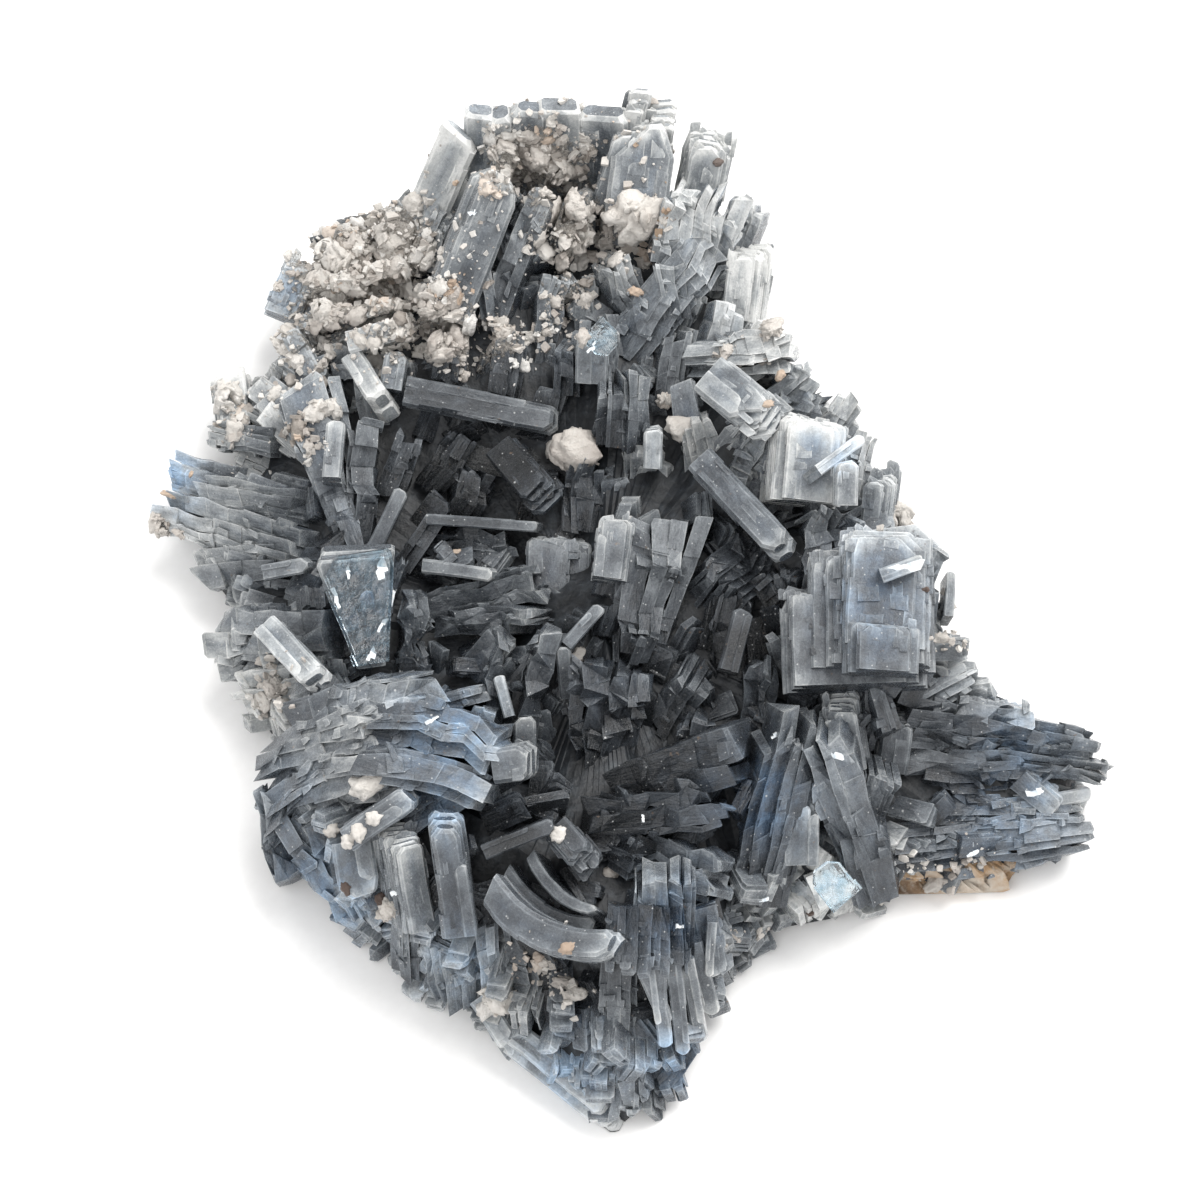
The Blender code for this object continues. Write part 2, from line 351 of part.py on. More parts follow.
def add_crystal(mesh, foot, tip, width, depth, plates, options):
    """A stack of plates: edge-on to the view, side by side, or face-on, one over another."""
    chance = random.Random(str(foot))
    start, end = place(*foot), place(*tip)
    length = (end - start).length
    frame = crystal_frame(start, end, options.get("roll", 0.0))
    flare = options.get("flare", 1.0)
    corner = options.get("corner", 0.0)
    bend = options.get("bend", 0.0)
    count = PLATES_BUILT[plates]
    for number in range(count):
        share = (number + 0.5) / count - 0.5
        if options.get("lay", "edge") == "edge":
            half = 0.5 * width / count * (PLATE_OVERLAP if count > 1 else 1.0)
            reach = length * (1.0 - REACH_SPREAD * chance.random() * (count > 1))
            top = -TOP_SPREAD * depth * chance.random() * (count > 1)
            root = -TOP_SPREAD * depth - ROOT_STEP * number
            add_plate(mesh, frame, (root, reach), (share * width, share * width * flare),
                      (half, half * flare), (-depth - UNDERSIDE_STEP * number, top), corner, bend)
        else:
            above = count - 1 - number
            low = -depth * (number + 1) / count - FACE_OVERLAP
            shrink = 1.0 - FACE_SHRINK * above
            slide = options.get("stagger", FACE_STAGGER) * (chance.random() - 0.5) * width * (1.0 - shrink)
            reach = length * (1.0 - FACE_RETREAT * above)
            half = 0.5 * width * shrink
            add_plate(mesh, frame, (-ROOT_STEP * number, reach), (slide, slide), (half, half * flare),
                      (low, -depth * number / count), corner, bend)


def height_samples():
    """World points along every crystal, which the bed under them follows."""
    samples = []
    for foot, tip, *_ in CRYSTALS:
        start, end = place(*foot), place(*tip)
        samples += [start, start.lerp(end, 0.5), end]
    return samples


def bed_height(samples, x, y):
    """Height of the crystal bed: the crystals' own heights near there, less the drop between them."""
    total = 0.0
    weights = 0.0
    for sample in samples:
        weight = ((sample.x - x) ** 2 + (sample.y - y) ** 2 + PULL_SOFTNESS) ** -PULL_FALLOFF
        total += weight * sample.z
        weights += weight
    first, second = (x * along + y * across for along, across in RIPPLE_WAVES)
    return max(total / weights - BED_DROP + BED_RIPPLE * math.sin(first) * math.cos(second), BED_LOWEST)


def add_loft(mesh, outline, rings, top_of, bottom):
    """A closed lump over an outline: rings that shrink towards the centre, a flat underside."""
    centre = Vector(BED_CENTRE)
    loops = [[mesh.verts.new((x, y, bottom)) for x, y in outline]]
    for share, rise in rings:
        loop = []
        for x, y in outline:
            spot = centre.lerp(Vector((x, y)), share)
            loop.append(mesh.verts.new((spot.x, spot.y, bottom + (top_of(spot.x, spot.y) - bottom) * rise)))
        loops.append(loop)
    count = len(outline)
    for below, above in zip(loops, loops[1:]):
        for k in range(count):
            after = (k + 1) % count
            mesh.faces.new((below[k], below[after], above[after], above[k]))
    peak = mesh.verts.new((centre.x, centre.y, top_of(centre.x, centre.y)))
    for k in range(count):
        mesh.faces.new((loops[-1][k], loops[-1][(k + 1) % count], peak))
    mesh.faces.new(tuple(reversed(loops[0])))


def add_rim(mesh, samples):
    """Short blades that point outwards all round the bed, in two tiers where the flank is high."""
    chance = random.Random(11)
    centre = Vector(BED_CENTRE)
    for k, (x, y) in enumerate(BED_OUTLINE):
        edge = Vector((x, y))
        inside = centre.lerp(edge, RIM_FEET)
        crown = bed_height(samples, inside.x, inside.y)
        for tier in TIERS_HIGH if crown > HIGH_FLANK else TIERS_LOW:
            low = max(crown * tier, LOWEST_BLADE)
            out = 1.0 + (FLANK_REACH - FLANK_RETREAT * tier) / (edge - centre).length
            start = Vector((inside.x, inside.y, low - FLANK_FOOT_DROP))
            tip = centre.lerp(edge, out)
            end = Vector((tip.x + chance.uniform(-FLANK_SPREAD, FLANK_SPREAD),
                          tip.y + chance.uniform(-FLANK_SPREAD, FLANK_SPREAD),
                          low + chance.uniform(*FLANK_RISE)))
            frame = crystal_frame(start, end, chance.uniform(-FLANK_ROLL, FLANK_ROLL))
            half = chance.uniform(*FLANK_HALF)
            deep = chance.uniform(*FLANK_DEEP)
            add_plate(mesh, frame, (0.0, (end - start).length), (0.0, 0.0), (half * FLANK_NARROWER, half),
                      (-deep, deep))


def add_knob(mesh, surface, across, up, height, radius):
    """A small rough lump of the pale crust, seated on the crystals where they come nearest."""
    chance = random.Random(str((across, up)))
    seat = surface.find_nearest(place(across, up, height))[0]
    made = bmesh.ops.create_icosphere(mesh, subdivisions=1, radius=radius)["verts"]
    for vert in made:
        vert.co *= chance.uniform(*KNOB_ROUGHNESS)
    turn = Matrix.Rotation(chance.uniform(0.0, math.tau), 4, "Z")
    squash = Matrix.Diagonal((*KNOB_SQUASH, 1.0))
    bmesh.ops.transform(mesh, matrix=Matrix.Translation(seat) @ turn @ squash, verts=made)


def new_object(name, mesh, collection, material=None):
    """An object made from a bmesh drawn in millimetres."""
    bmesh.ops.recalc_face_normals(mesh, faces=mesh.faces)
    bmesh.ops.scale(mesh, vec=(MM, MM, MM), verts=mesh.verts)
    data = bpy.data.meshes.new(name)
    mesh.to_mesh(data)
    mesh.free()
    made = bpy.data.objects.new(name, data)
    collection.objects.link(made)
    if material:
        data.materials.append(material)
    else:
        made.hide_render = True
        made.display_type = "WIRE"
    return made


def new_material(name, colour, roughness):
    """A plain surface with the colour of one part."""
    material = bpy.data.materials.new(name)
    material.use_nodes = True
    shader = material.node_tree.nodes["Principled BSDF"]
    shader.inputs["Base Color"].default_value = (*colour, 1.0)
    shader.inputs["Roughness"].default_value = roughness
    shader.inputs["Metallic"].default_value = 0.0
    return material


def combine(target, other, operation):
    """A Boolean of two closed objects, kept as a modifier."""
    modifier = target.modifiers.new(operation.title(), "BOOLEAN")
    modifier.operation = operation
    modifier.solver = "EXACT"
    modifier.use_self = operation == "UNION"
    modifier.object = other


def bake(target):
    """Turns an object's modifiers into plain triangles and keeps its largest closed surface."""
    graph = bpy.context.evaluated_depsgraph_get()
    baked = bpy.data.meshes.new_from_object(target.evaluated_get(graph), depsgraph=graph)
    target.modifiers.clear()
    mesh = bmesh.new()
    mesh.from_mesh(baked)
    bmesh.ops.remove_doubles(mesh, verts=mesh.verts, dist=WELD * MM)
    bmesh.ops.dissolve_degenerate(mesh, dist=WELD * MM, edges=mesh.edges)
    bmesh.ops.triangulate(mesh, faces=mesh.faces)
    bodies = []
    waiting = set(mesh.verts)
    while waiting:
        body = {waiting.pop()}
        front = list(body)
        while front:
            for edge in front.pop().link_edges:
                for vert in edge.verts:
                    if vert in waiting:
                        waiting.discard(vert)
                        body.add(vert)
                        front.append(vert)
        bodies.append(body)
    bodies.sort(key=len)
    spare = [vert for body in bodies[:-1] for vert in body]
    bmesh.ops.delete(mesh, geom=spare, context="VERTS")
    mesh.to_mesh(baked)
    mesh.free()
    target.data = baked


def rock_top(extra):
    """Height of the matrix: gently wavy, raised by an extra gap where it is used as a cutter."""
    def top(x, y):
        wave = math.sin(ROCK_WAVES[0] * x + ROCK_PHASE) * math.cos(ROCK_WAVES[1] * y)
        return ROCK_TOP + ROCK_WAVE * wave + extra
    return top


def grown(outline, distance):
    """An outline moved outwards from the bed's centre by a distance."""
    centre = Vector(BED_CENTRE)
    spots = []
    for x, y in outline:
        reach = Vector((x, y)) - centre
        spot = centre + reach * (1.0 + distance / reach.length)
        spots.append((spot.x, spot.y))
    return spots


def main():
    for item in list(bpy.data.objects):
        bpy.data.objects.remove(item, do_unlink=True)
    parts = bpy.data.collections.new("barite_crystal_cluster")
    cutters = bpy.data.collections.new("cutters")
    bpy.context.scene.collection.children.link(parts)
    bpy.context.scene.collection.children.link(cutters)
    barite = new_material("blue_barite", (0.16, 0.21, 0.27), 0.35)
    matrix = new_material("matrix", (0.52, 0.38, 0.24), 0.85)

    samples = height_samples()
    bed = bmesh.new()
    add_loft(bed, BED_OUTLINE, BED_RINGS, lambda x, y: bed_height(samples, x, y), BED_UNDERSIDE)
    crystals = new_object("barite_crystals", bed, parts, barite)

    blades = bmesh.new()
    for row in CRYSTALS:
        add_crystal(blades, *row)
    add_rim(blades, samples)
    surface = BVHTree.FromBMesh(blades)
    for row in KNOBS:
        add_knob(blades, surface, *row)
    combine(crystals, new_object("blades", blades, cutters), "UNION")
    bake(crystals)
    thin = crystals.modifiers.new("Thin", "DECIMATE")
    thin.ratio = KEPT_SHARE

    recess = bmesh.new()
    add_loft(recess, grown(ROCK_OUTLINE, RECESS_SIDE * GAP), RECESS_RINGS, rock_top(RECESS_ROOF * GAP),
             -RECESS_DEPTH)
    combine(crystals, new_object("matrix_recess", recess, cutters), "DIFFERENCE")

    floor = bmesh.new()
    made = bmesh.ops.create_cube(floor, size=1.0)["verts"]
    middle = FLOOR_CLEARANCE - 0.5 * CUTTER_DEPTH
    bmesh.ops.transform(floor, verts=made, matrix=Matrix.Translation((0, 0, middle))
                        @ Matrix.Diagonal((CUTTER_SIZE, CUTTER_SIZE, CUTTER_DEPTH, 1)))
    combine(crystals, new_object("floor_cut", floor, cutters), "DIFFERENCE")
    bake(crystals)

    rock = bmesh.new()
    add_loft(rock, ROCK_OUTLINE, ROCK_RINGS, rock_top(0.0), 0.0)
    new_object("matrix_rock", rock, parts, matrix)


main()
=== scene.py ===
"""Looks of the barite crystal cluster: every stack of plates, the drusy crust, the matrix, floor and light."""
import math
import random

import bmesh
import bpy
import numpy as np
from mathutils import Matrix, Vector, noise
from mathutils.bvhtree import BVHTree


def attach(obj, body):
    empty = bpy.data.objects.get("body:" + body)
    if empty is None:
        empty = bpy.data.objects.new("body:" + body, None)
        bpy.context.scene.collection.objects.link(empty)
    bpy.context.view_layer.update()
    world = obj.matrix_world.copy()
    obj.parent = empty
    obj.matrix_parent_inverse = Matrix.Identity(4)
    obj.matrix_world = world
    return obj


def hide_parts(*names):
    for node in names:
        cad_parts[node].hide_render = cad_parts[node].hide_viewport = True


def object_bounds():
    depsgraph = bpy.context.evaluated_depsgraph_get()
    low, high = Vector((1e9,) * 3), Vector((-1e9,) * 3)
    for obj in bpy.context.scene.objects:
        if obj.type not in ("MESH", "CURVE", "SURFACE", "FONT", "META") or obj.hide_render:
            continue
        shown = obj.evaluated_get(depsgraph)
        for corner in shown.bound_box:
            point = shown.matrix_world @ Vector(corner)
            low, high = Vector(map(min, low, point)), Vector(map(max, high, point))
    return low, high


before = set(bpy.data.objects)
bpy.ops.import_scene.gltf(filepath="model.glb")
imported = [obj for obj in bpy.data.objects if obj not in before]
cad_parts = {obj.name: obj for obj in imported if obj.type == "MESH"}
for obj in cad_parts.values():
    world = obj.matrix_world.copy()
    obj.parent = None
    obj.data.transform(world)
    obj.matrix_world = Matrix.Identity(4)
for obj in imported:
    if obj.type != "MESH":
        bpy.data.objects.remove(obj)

CAD_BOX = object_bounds()
MM = 0.001
VIEW_DISTANCE = 500.0
VIEW_ELEVATION = math.radians(60.0)
AIM_HEIGHT = 15.0
PICTURE_WIDTH = 150.0
SENSOR_WIDTH = 36.0
BED_DROP = 5.5
BED_LOWEST = 8.2
ROCK_TOP = 6.0
ROCK_WAVE = 0.8

# The centre that both outlines are drawn round, and the outline of the crystal bed, counterclockwise
BED_CENTRE = (0.0, -2.0)
BED_OUTLINE = [
    (41, 0), (34, 12), (31, 21), (25, 32), (20, 43), (16, 52), (6, 60), (-7, 62), (-18, 61.5), (-26, 58),
    (-33, 52.5), (-40, 44.5), (-46, 35), (-46, 26), (-50, 20), (-51, 13), (-47, 7), (-45, -2), (-43, -9),
    (-38, -17), (-39, -24), (-36, -31), (-29, -39), (-20, -46), (-12, -52), (-4, -60), (3, -64), (9, -58),
    (12, -49), (19, -39), (29, -37), (38, -31.5), (49, -31), (58, -27), (60, -19), (49, -13), (43, -8),
]
# The matrix shows past the crystals along the lower right and behind the right-hand plates
ROCK_OUTLINE = [
    (34, 0), (33, 11), (27, 19), (20, 30), (15, 40), (11, 46), (3, 49), (-8, 50), (-17, 48), (-24, 45),
    (-30, 41), (-35, 36), (-39, 29), (-40, 23), (-43, 17), (-43, 11), (-40, 5), (-38, -2), (-36, -8),
    (-32, -16), (-32, -23), (-29, -29), (-23, -35), (-16, -41), (-10, -46), (-4, -52), (2, -55), (6, -50),
    (10, -43), (17, -35), (28, -33.5), (38, -33.5), (50, -33.2), (54, -26), (52, -20), (42, -13), (37, -8),
]
# Each crystal: foot, tip, width at the foot, depth, plates, then what differs from a plain one.
# Foot and tip are across, up and height in millimetres: across and up in the plane that the view sees.
CRYSTALS = [
    # Crest along the far edge
    ((-15.0, 50.5, 20), (-15.0, 60.4, 33), 4.2, 2.8, 1, {"lay": "face", "corner": 0.3}),
    ((-12.2, 50.5, 20), (-12.2, 60.0, 33), 3.8, 3.2, 1, {"lay": "face", "corner": 0.3, "roll": 8}),
    ((-9.0, 50.5, 20), (-9.0, 60.8, 34), 5.4, 2.8, 1, {"lay": "face", "corner": 0.3, "roll": -5}),
    ((-4.8, 50.5, 20), (-4.8, 61.0, 34), 6.0, 3.0, 1, {"lay": "face", "corner": 0.3, "roll": 6}),
    ((0.2, 50.5, 20), (0.2, 60.2, 33), 6.8, 2.8, 1, {"lay": "face", "corner": 0.3, "roll": -8}),
    ((-6.8, 49.0, 15), (-6.6, 60.2, 28), 19.0, 3.4, 1, {"lay": "face"}),
    # Far slope, left: clear rhomb, tall prism and its dark neighbour
    ((-22.4, 46.8, 20), (-17.4, 58.0, 31), 6.2, 2.4, 1, {"lay": "face", "corner": 0.4, "slant": 0.3}),
    ((-20.5, 45.5, 17), (-15.4, 52.6, 24), 5.0, 3, 2, {"lay": "face", "roll": -6}),
    ((-35.0, 37.5, 12), (-33.8, 43.2, 17), 3.6, 3, 2, {"lay": "face", "roll": 6}),
    ((-19.0, 35, 23), (-12.0, 52.8, 35), 6.2, 6, 1, {"lay": "face", "roll": 14, "corner": 1.9}),
    ((-14.0, 35, 20), (-7.5, 51, 30), 3.5, 6, 2, {"roll": -10}),
    ((-6.5, 33, 17), (-5.5, 40, 22), 3.4, 6, 2, {"roll": 12}),
    ((-23.0, 42, 19), (-19.5, 48.5, 24), 3.2, 5, 2, {}),
    ((-6.0, 43, 23), (-2.5, 51.5, 29), 3.0, 6, 2, {"roll": -14}),
    ((-12.5, 51.5, 26), (-11.0, 57.0, 30), 3.6, 6, 2, {"lay": "face", "roll": 10}),
    # Far slope, right: rhomb plates and fans
    ((0.5, 48.5, 24), (4.2, 59.3, 33), 4.5, 4, 2, {"lay": "face", "corner": 0.9, "slant": -0.4}),
    ((4.4, 46.5, 25), (6.0, 59.4, 33), 8.4, 2.5, 1, {"lay": "face", "corner": 3.6, "slant": -0.2}),
    ((2.5, 51.5, 22), (4.8, 62.4, 35), 3.0, 3, 2, {"lay": "face"}),
    ((6.5, 51.5, 22), (8.0, 60.3, 33), 4.0, 4, 2, {"lay": "face", "roll": 8}),
    ((12.2, 49.5, 24), (13.8, 57.8, 31), 6.6, 4, 2, {"lay": "face", "corner": 2.0}),
    ((12.0, 42, 24), (14.5, 50.8, 31), 8.0, 8, 4, {"flare": 1.25}),
    ((8.6, 42.5, 24), (10.4, 50.2, 30), 4.0, 6, 2, {"roll": 10}),
    ((16.8, 44, 22), (19.0, 50.0, 26), 3.6, 6, 2, {"roll": -12}),
    ((17.0, 35, 20), (18.2, 44.2, 26), 5.2, 8, 2, {"lay": "face", "roll": -12}),
    ((3.5, 31, 18), (13.5, 44.6, 27), 6.4, 8, 4, {"flare": 1.2}),
    ((-0.6, 27, 20), (-0.3, 33.4, 24), 5.6, 6, 2, {"lay": "face"}),
    ((9.0, 25, 19), (10.5, 33.5, 24), 4.2, 7, 3, {"roll": 8}),
    ((15.0, 29, 20), (17.0, 37.5, 25), 4.0, 7, 2, {"roll": 14}),
    # Upper right: stacked pale plates
    ((12.5, 30.2, 25), (24.6, 31.6, 27), 5.2, 8, 3, {}),
    ((13.5, 28.6, 30), (20.9, 22.6, 31), 6.0, 4, 2, {"lay": "face", "corner": 1.9}),
    ((22.6, 22.0, 22), (27.4, 29.7, 25), 6.6, 8, 3, {}),
    ((27.5, 19.5, 20), (31.6, 25.0, 23), 5.6, 8, 3, {}),
    ((31.0, 13.0, 20), (33.0, 21.2, 24), 4.0, 8, 3, {}),
    ((26.0, 12.4, 27), (27.0, 23.8, 32), 9.6, 9, 4, {"lay": "face", "roll": 6}),
    ((30.8, 11.8, 30), (30.8, 17.2, 33), 3.0, 4, 1, {"lay": "face"}),
    ((27.3, 16.2, 31.5), (33.0, 20.4, 30), 1.5, 5, 1, {}),
    ((34.2, 9.2, 21), (35.0, 15.8, 25), 4.0, 7, 2, {"lay": "face", "roll": -10}),
    ((17.5, 12.0, 20), (21.0, 20.5, 26), 4.6, 7, 3, {"roll": 10}),
    # Right-hand rosette of square plates
    ((31.8, -10.4, 25), (31.2, 3.2, 28.5), 17.6, 5, 2, {"lay": "face", "roll": -4, "stagger": 0.4}),
    ((34.2, -7.8, 28), (34.0, 8.0, 31.5), 15.6, 5, 2, {"lay": "face", "stagger": 0.4}),
    ((35.8, -5.6, 30), (36.2, 9.9, 34), 11.6, 4, 2, {"lay": "face", "corner": 1.6, "roll": 4}),
    ((35.6, -8.8, 31), (35.8, -2.4, 33), 9.0, 4, 2, {"lay": "face", "roll": 6}),
    ((35.2, 3.0, 34), (40.4, 4.9, 35), 1.8, 4, 1, {}),
    ((43.6, -2.0, 23), (43.9, 3.6, 25), 1.2, 8, 1, {}),
    ((28.0, 2.5, 24), (28.3, 12.2, 28), 4.6, 8, 3, {}),
    ((40.5, -12.0, 17), (47.0, -8.6, 18), 4.2, 7, 3, {}),
    ((40.5, 2.0, 21), (42.6, 6.5, 24), 3.4, 7, 2, {"roll": 20}),
    # Slanting pale blade and the dark plates under it
    ((12.3, 17.8, 25), (22.6, 6.8, 27), 4.0, 4, 1, {"lay": "face", "corner": 1.2}),
    ((23.0, 10.0, 18), (16.0, 2.0, 22), 7.5, 8, 3, {}),
    ((13.5, 16.0, 18), (12.0, 22.5, 23), 4.4, 7, 3, {}),
    # Right-hand tail, upper bundle
    ((39.5, -15.3, 17), (63.4, -18.9, 12), 6.0, 8, 3, {"flare": 0.7}),
    ((40.0, -18.6, 15), (64.8, -21.0, 11), 6.4, 8, 4, {"flare": 0.6}),
    ((42.0, -21.8, 12), (57.0, -22.8, 9), 3.6, 6, 2, {"flare": 0.7}),
    ((43.0, -13.4, 17), (54.0, -14.4, 15), 2.6, 7, 2, {}),
    # Right-hand tail, lower bundle and the prongs at its end
    ((38.6, -30.8, 9), (62.2, -28.8, 8), 6.2, 7, 4, {"flare": 0.85}),
    ((41.5, -26.8, 10), (60.0, -26.6, 8.5), 4.4, 7, 3, {"flare": 0.8}),
    ((39.5, -33.0, 6), (58.0, -32.2, 5), 4.0, 5, 3, {"flare": 0.8}),
    ((56.0, -25.2, 8), (61.4, -24.1, 8), 1.8, 5, 1, {}),
    ((36.2, -21.6, 13), (37.2, -14.4, 18), 4.6, 6, 2, {"lay": "face"}),
    # Lower right tent of two leaning blades
    ((20.6, -37.2, 11), (25.2, -14.8, 27), 6.4, 9, 3, {"roll": 12}),
    ((34.2, -36.4, 10), (27.2, -17.2, 26), 6.0, 9, 3, {"roll": -12}),
    ((25.0, -33.2, 13), (25.2, -24.4, 19), 4.8, 6, 2, {"lay": "face"}),
    ((31.4, -21.5, 17), (29.8, -12.8, 24), 4.6, 6, 2, {"lay": "face", "roll": -10}),
    ((20.6, -38.2, 8), (20.6, -33.0, 13), 6.0, 6, 1, {"lay": "face"}),
    ((18.5, -39.6, 5), (35.0, -38.2, 5), 4.6, 5, 2, {}),
    ((26.6, -36.8, 11), (31.6, -34.6, 12), 4.6, 4, 1, {"lay": "face", "corner": 1.2}),
    ((32.4, -37.2, 6), (36.6, -31.6, 10), 4.6, 6, 2, {}),
    ((35.4, -36.4, 5), (38.6, -31.0, 8), 3.0, 5, 2, {}),
    ((33.0, -29.0, 12), (35.8, -22.5, 18), 4.0, 7, 2, {"roll": 10}),
    # Near point: fan of blades, column and slab
    ((8.2, -43.5, 20), (8.3, -35.2, 26), 7.2, 8, 3, {}),
    ((5.8, -39.8, 24), (5.6, -47.8, 20), 9.0, 8, 3, {"flare": 1.1}),
    ((5.0, -45.0, 20), (8.6, -53.2, 13), 2.0, 6, 1, {}),
    ((7.0, -46.0, 19), (8.2, -56.0, 11), 2.0, 6, 1, {"roll": 8}),
    ((9.2, -45.5, 19), (10.4, -57.0, 10), 2.0, 6, 1, {}),
    ((10.8, -45.0, 18), (12.8, -55.4, 9), 2.0, 6, 1, {"roll": -8}),
    ((11.6, -43.0, 17), (14.0, -52.0, 9), 2.4, 6, 1, {}),
    ((5.5, -62.0, 4), (11.0, -54.5, 8), 4.6, 5, 3, {}),
    ((2.5, -46.0, 18), (2.2, -54.5, 11), 4.4, 7, 3, {}),
    ((3.6, -52.0, 12), (3.4, -65.6, 5), 4.6, 7, 3, {}),
    ((12.6, -38.6, 18), (14.6, -48.6, 11), 5.0, 6, 2, {"lay": "face", "roll": -15}),
    ((14.0, -40.4, 19), (13.6, -47.2, 14), 1.2, 4, 1, {}),
    ((-11.0, -54.6, 6), (2.2, -65.2, 4), 4.6, 5, 2, {"lay": "face"}),
    ((-15.0, -49.6, 7), (-10.4, -56.4, 5), 3.6, 5, 2, {"lay": "face"}),
    ((-9.8, -42.0, 16), (-10.0, -52.0, 9), 4.0, 7, 3, {}),
    ((-14.0, -42.0, 15), (-13.8, -49.2, 10), 2.6, 6, 2, {}),
    ((-5.5, -47.0, 12), (-4.0, -56.0, 7), 4.4, 6, 2, {}),
    # Curved blades over the near point
    ((-14.0, -36.2, 23), (1.1, -43.2, 25), 4.2, 6, 1, {"lay": "face", "bend": -2.3}),
    ((-8.8, -31.8, 22), (-0.8, -38.8, 23), 1.5, 6, 1, {"bend": -1.3}),
    ((-12.0, -34.2, 20), (-0.8, -40.6, 20), 2.6, 6, 1, {"bend": -1.8}),
    ((-14.6, -31.6, 24), (-5.9, -28.1, 26), 1.9, 6, 1, {}),
    ((-5.8, -28.4, 24), (-2.3, -32.4, 24), 4.0, 6, 2, {"lay": "face"}),
    ((2.2, -31.4, 18), (14.2, -35.0, 20), 5.0, 8, 3, {"flare": 1.25}),
    # Near middle: striated wedge and slab
    ((1.8, -23.2, 20), (17.2, -19.6, 26), 3.8, 10, 4, {"flare": 2.2}),
    ((-0.8, -27.2, 22), (15.3, -26.0, 24), 4.7, 9, 3, {}),
    # Middle: shell of plates, dark plate, upright blades
    ((4.6, -6.4, 17), (8.0, 12.0, 25), 6.0, 11, 5, {"flare": 2.1}),
    ((1.2, 2.8, 22), (2.2, 11.2, 25), 4.6, 5, 2, {"lay": "face"}),
    ((-5.4, -3.6, 10), (-5.0, 9.3, 14), 9.0, 6, 2, {"lay": "face"}),
    ((-21.7, 10.1, 15), (-8.0, 9.2, 16), 1.4, 6, 1, {}),
    ((-22.0, 7.0, 12), (-10.0, 7.0, 13), 3.2, 6, 2, {}),
    ((-22.3, 4.3, 16), (-13.6, 3.2, 17), 1.8, 4, 1, {}),
    ((-21.4, -0.8, 13), (-7.0, 2.4, 17), 3.4, 7, 3, {"flare": 1.4}),
    ((-19.0, -2.8, 14), (-8.4, -2.6, 18), 3.4, 7, 2, {}),
    ((-4.2, -5.6, 19), (0.1, -0.9, 21), 1.7, 5, 1, {}),
    ((-9.3, -22.0, 12), (-9.4, -14.6, 16), 2.8, 7, 1, {}),
    ((-9.5, -16.5, 14), (-6.0, -4.0, 22), 2.7, 7, 2, {}),
    ((-13.0, -16.2, 12), (-11.4, -4.0, 19), 3.0, 7, 2, {"roll": 12}),
    ((-11.4, -14.5, 17), (-12.8, -9.4, 19), 1.4, 4, 1, {"lay": "face"}),
    ((-4.0, -12.4, 14), (-4.6, -6.0, 19), 2.0, 6, 1, {}),
    ((0.4, -20.6, 14), (1.6, -7.8, 22), 7.2, 10, 4, {"flare": 1.45}),
    ((8.2, -15.6, 12), (11.6, -10.4, 17), 5.0, 8, 2, {}),
    ((15.2, -11.0, 12), (17.0, 0.2, 20), 4.6, 8, 2, {}),
    ((16.1, -8.8, 19), (18.1, -1.1, 22), 2.6, 4, 1, {"lay": "face"}),
    ((19.5, -18.0, 13), (20.5, -8.0, 19), 4.0, 8, 2, {}),
    ((-23.5, -10.6, 12), (-22.4, 0.2, 19), 3.0, 8, 2, {"roll": 10}),
    ((-18.4, -12.6, 15), (-13.6, -11.6, 16), 2.2, 5, 2, {}),
    ((-16.2, -18.2, 16), (-14.4, -13.8, 19), 3.0, 5, 2, {}),
    ((-2.4, 10.0, 13), (-1.6, 17.6, 18), 5.0, 7, 3, {}),
    ((5.0, 13.5, 15), (5.6, 19.0, 19), 5.0, 7, 2, {}),
    ((-8.8, 10.4, 11), (-7.2, 16.0, 15), 3.6, 6, 2, {}),
    # Stubs and the long bar across the back of the hollow
    ((1.2, 20.2, 20), (1.4, 26.9, 25), 3.4, 8, 2, {}),
    ((4.6, 20.2, 20), (5.0, 28.8, 25), 3.4, 8, 2, {"roll": 12}),
    ((6.6, 16.4, 21), (6.7, 21.3, 24), 2.5, 7, 1, {"lay": "face"}),
    ((-24.4, 26.2, 17.5), (-5.6, 22.3, 17.5), 4.0, 5, 1, {"lay": "face", "corner": 0.8}),
    ((-12.6, 19.6, 16), (-7.4, 13.4, 18), 5.0, 4, 2, {"lay": "face"}),
    ((-21.0, 14.5, 12), (-17.0, 20.5, 16), 4.0, 6, 2, {}),
    ((-26.0, 14.0, 13), (-23.5, 21.5, 17), 3.6, 6, 2, {}),
    ((-28.6, 5.8, 13), (-24.8, 13.7, 17), 1.9, 5, 1, {}),
    ((-24.0, 5.0, 12), (-20.4, 10.6, 15), 2.6, 6, 2, {}),
    ((-12.0, 26.5, 17), (-11.0, 33.0, 21), 4.4, 7, 2, {}),
    ((-19.0, 28.0, 18), (-18.5, 34.0, 22), 4.4, 6, 2, {}),
    ((-4.5, 26.0, 17), (-4.0, 32.0, 21), 3.6, 7, 2, {"roll": -10}),
    ((-17.0, 10.5, 11), (-15.0, 16.0, 15), 4.0, 6, 2, {"roll": 15}),
    ((-13.0, 34.5, 20), (-14.5, 40.5, 24), 3.4, 7, 2, {}),
    ((-28.5, 23.0, 15), (-30.0, 29.5, 19), 3.6, 7, 2, {"roll": -12}),
    ((5.0, 36.0, 20), (2.0, 42.5, 25), 3.8, 7, 2, {"roll": 12}),
    ((9.5, 35.5, 21), (8.5, 42.5, 26), 3.8, 7, 2, {}),
    ((-28.0, -3.0, 12), (-26.5, 4.5, 16), 3.4, 7, 2, {}),
    ((10.0, -22.0, 13), (12.5, -15.0, 18), 3.6, 8, 2, {}),
    ((26.5, -12.0, 14), (22.0, -4.5, 19), 4.0, 8, 2, {}),
    # Left: upright fan, low fans that point left
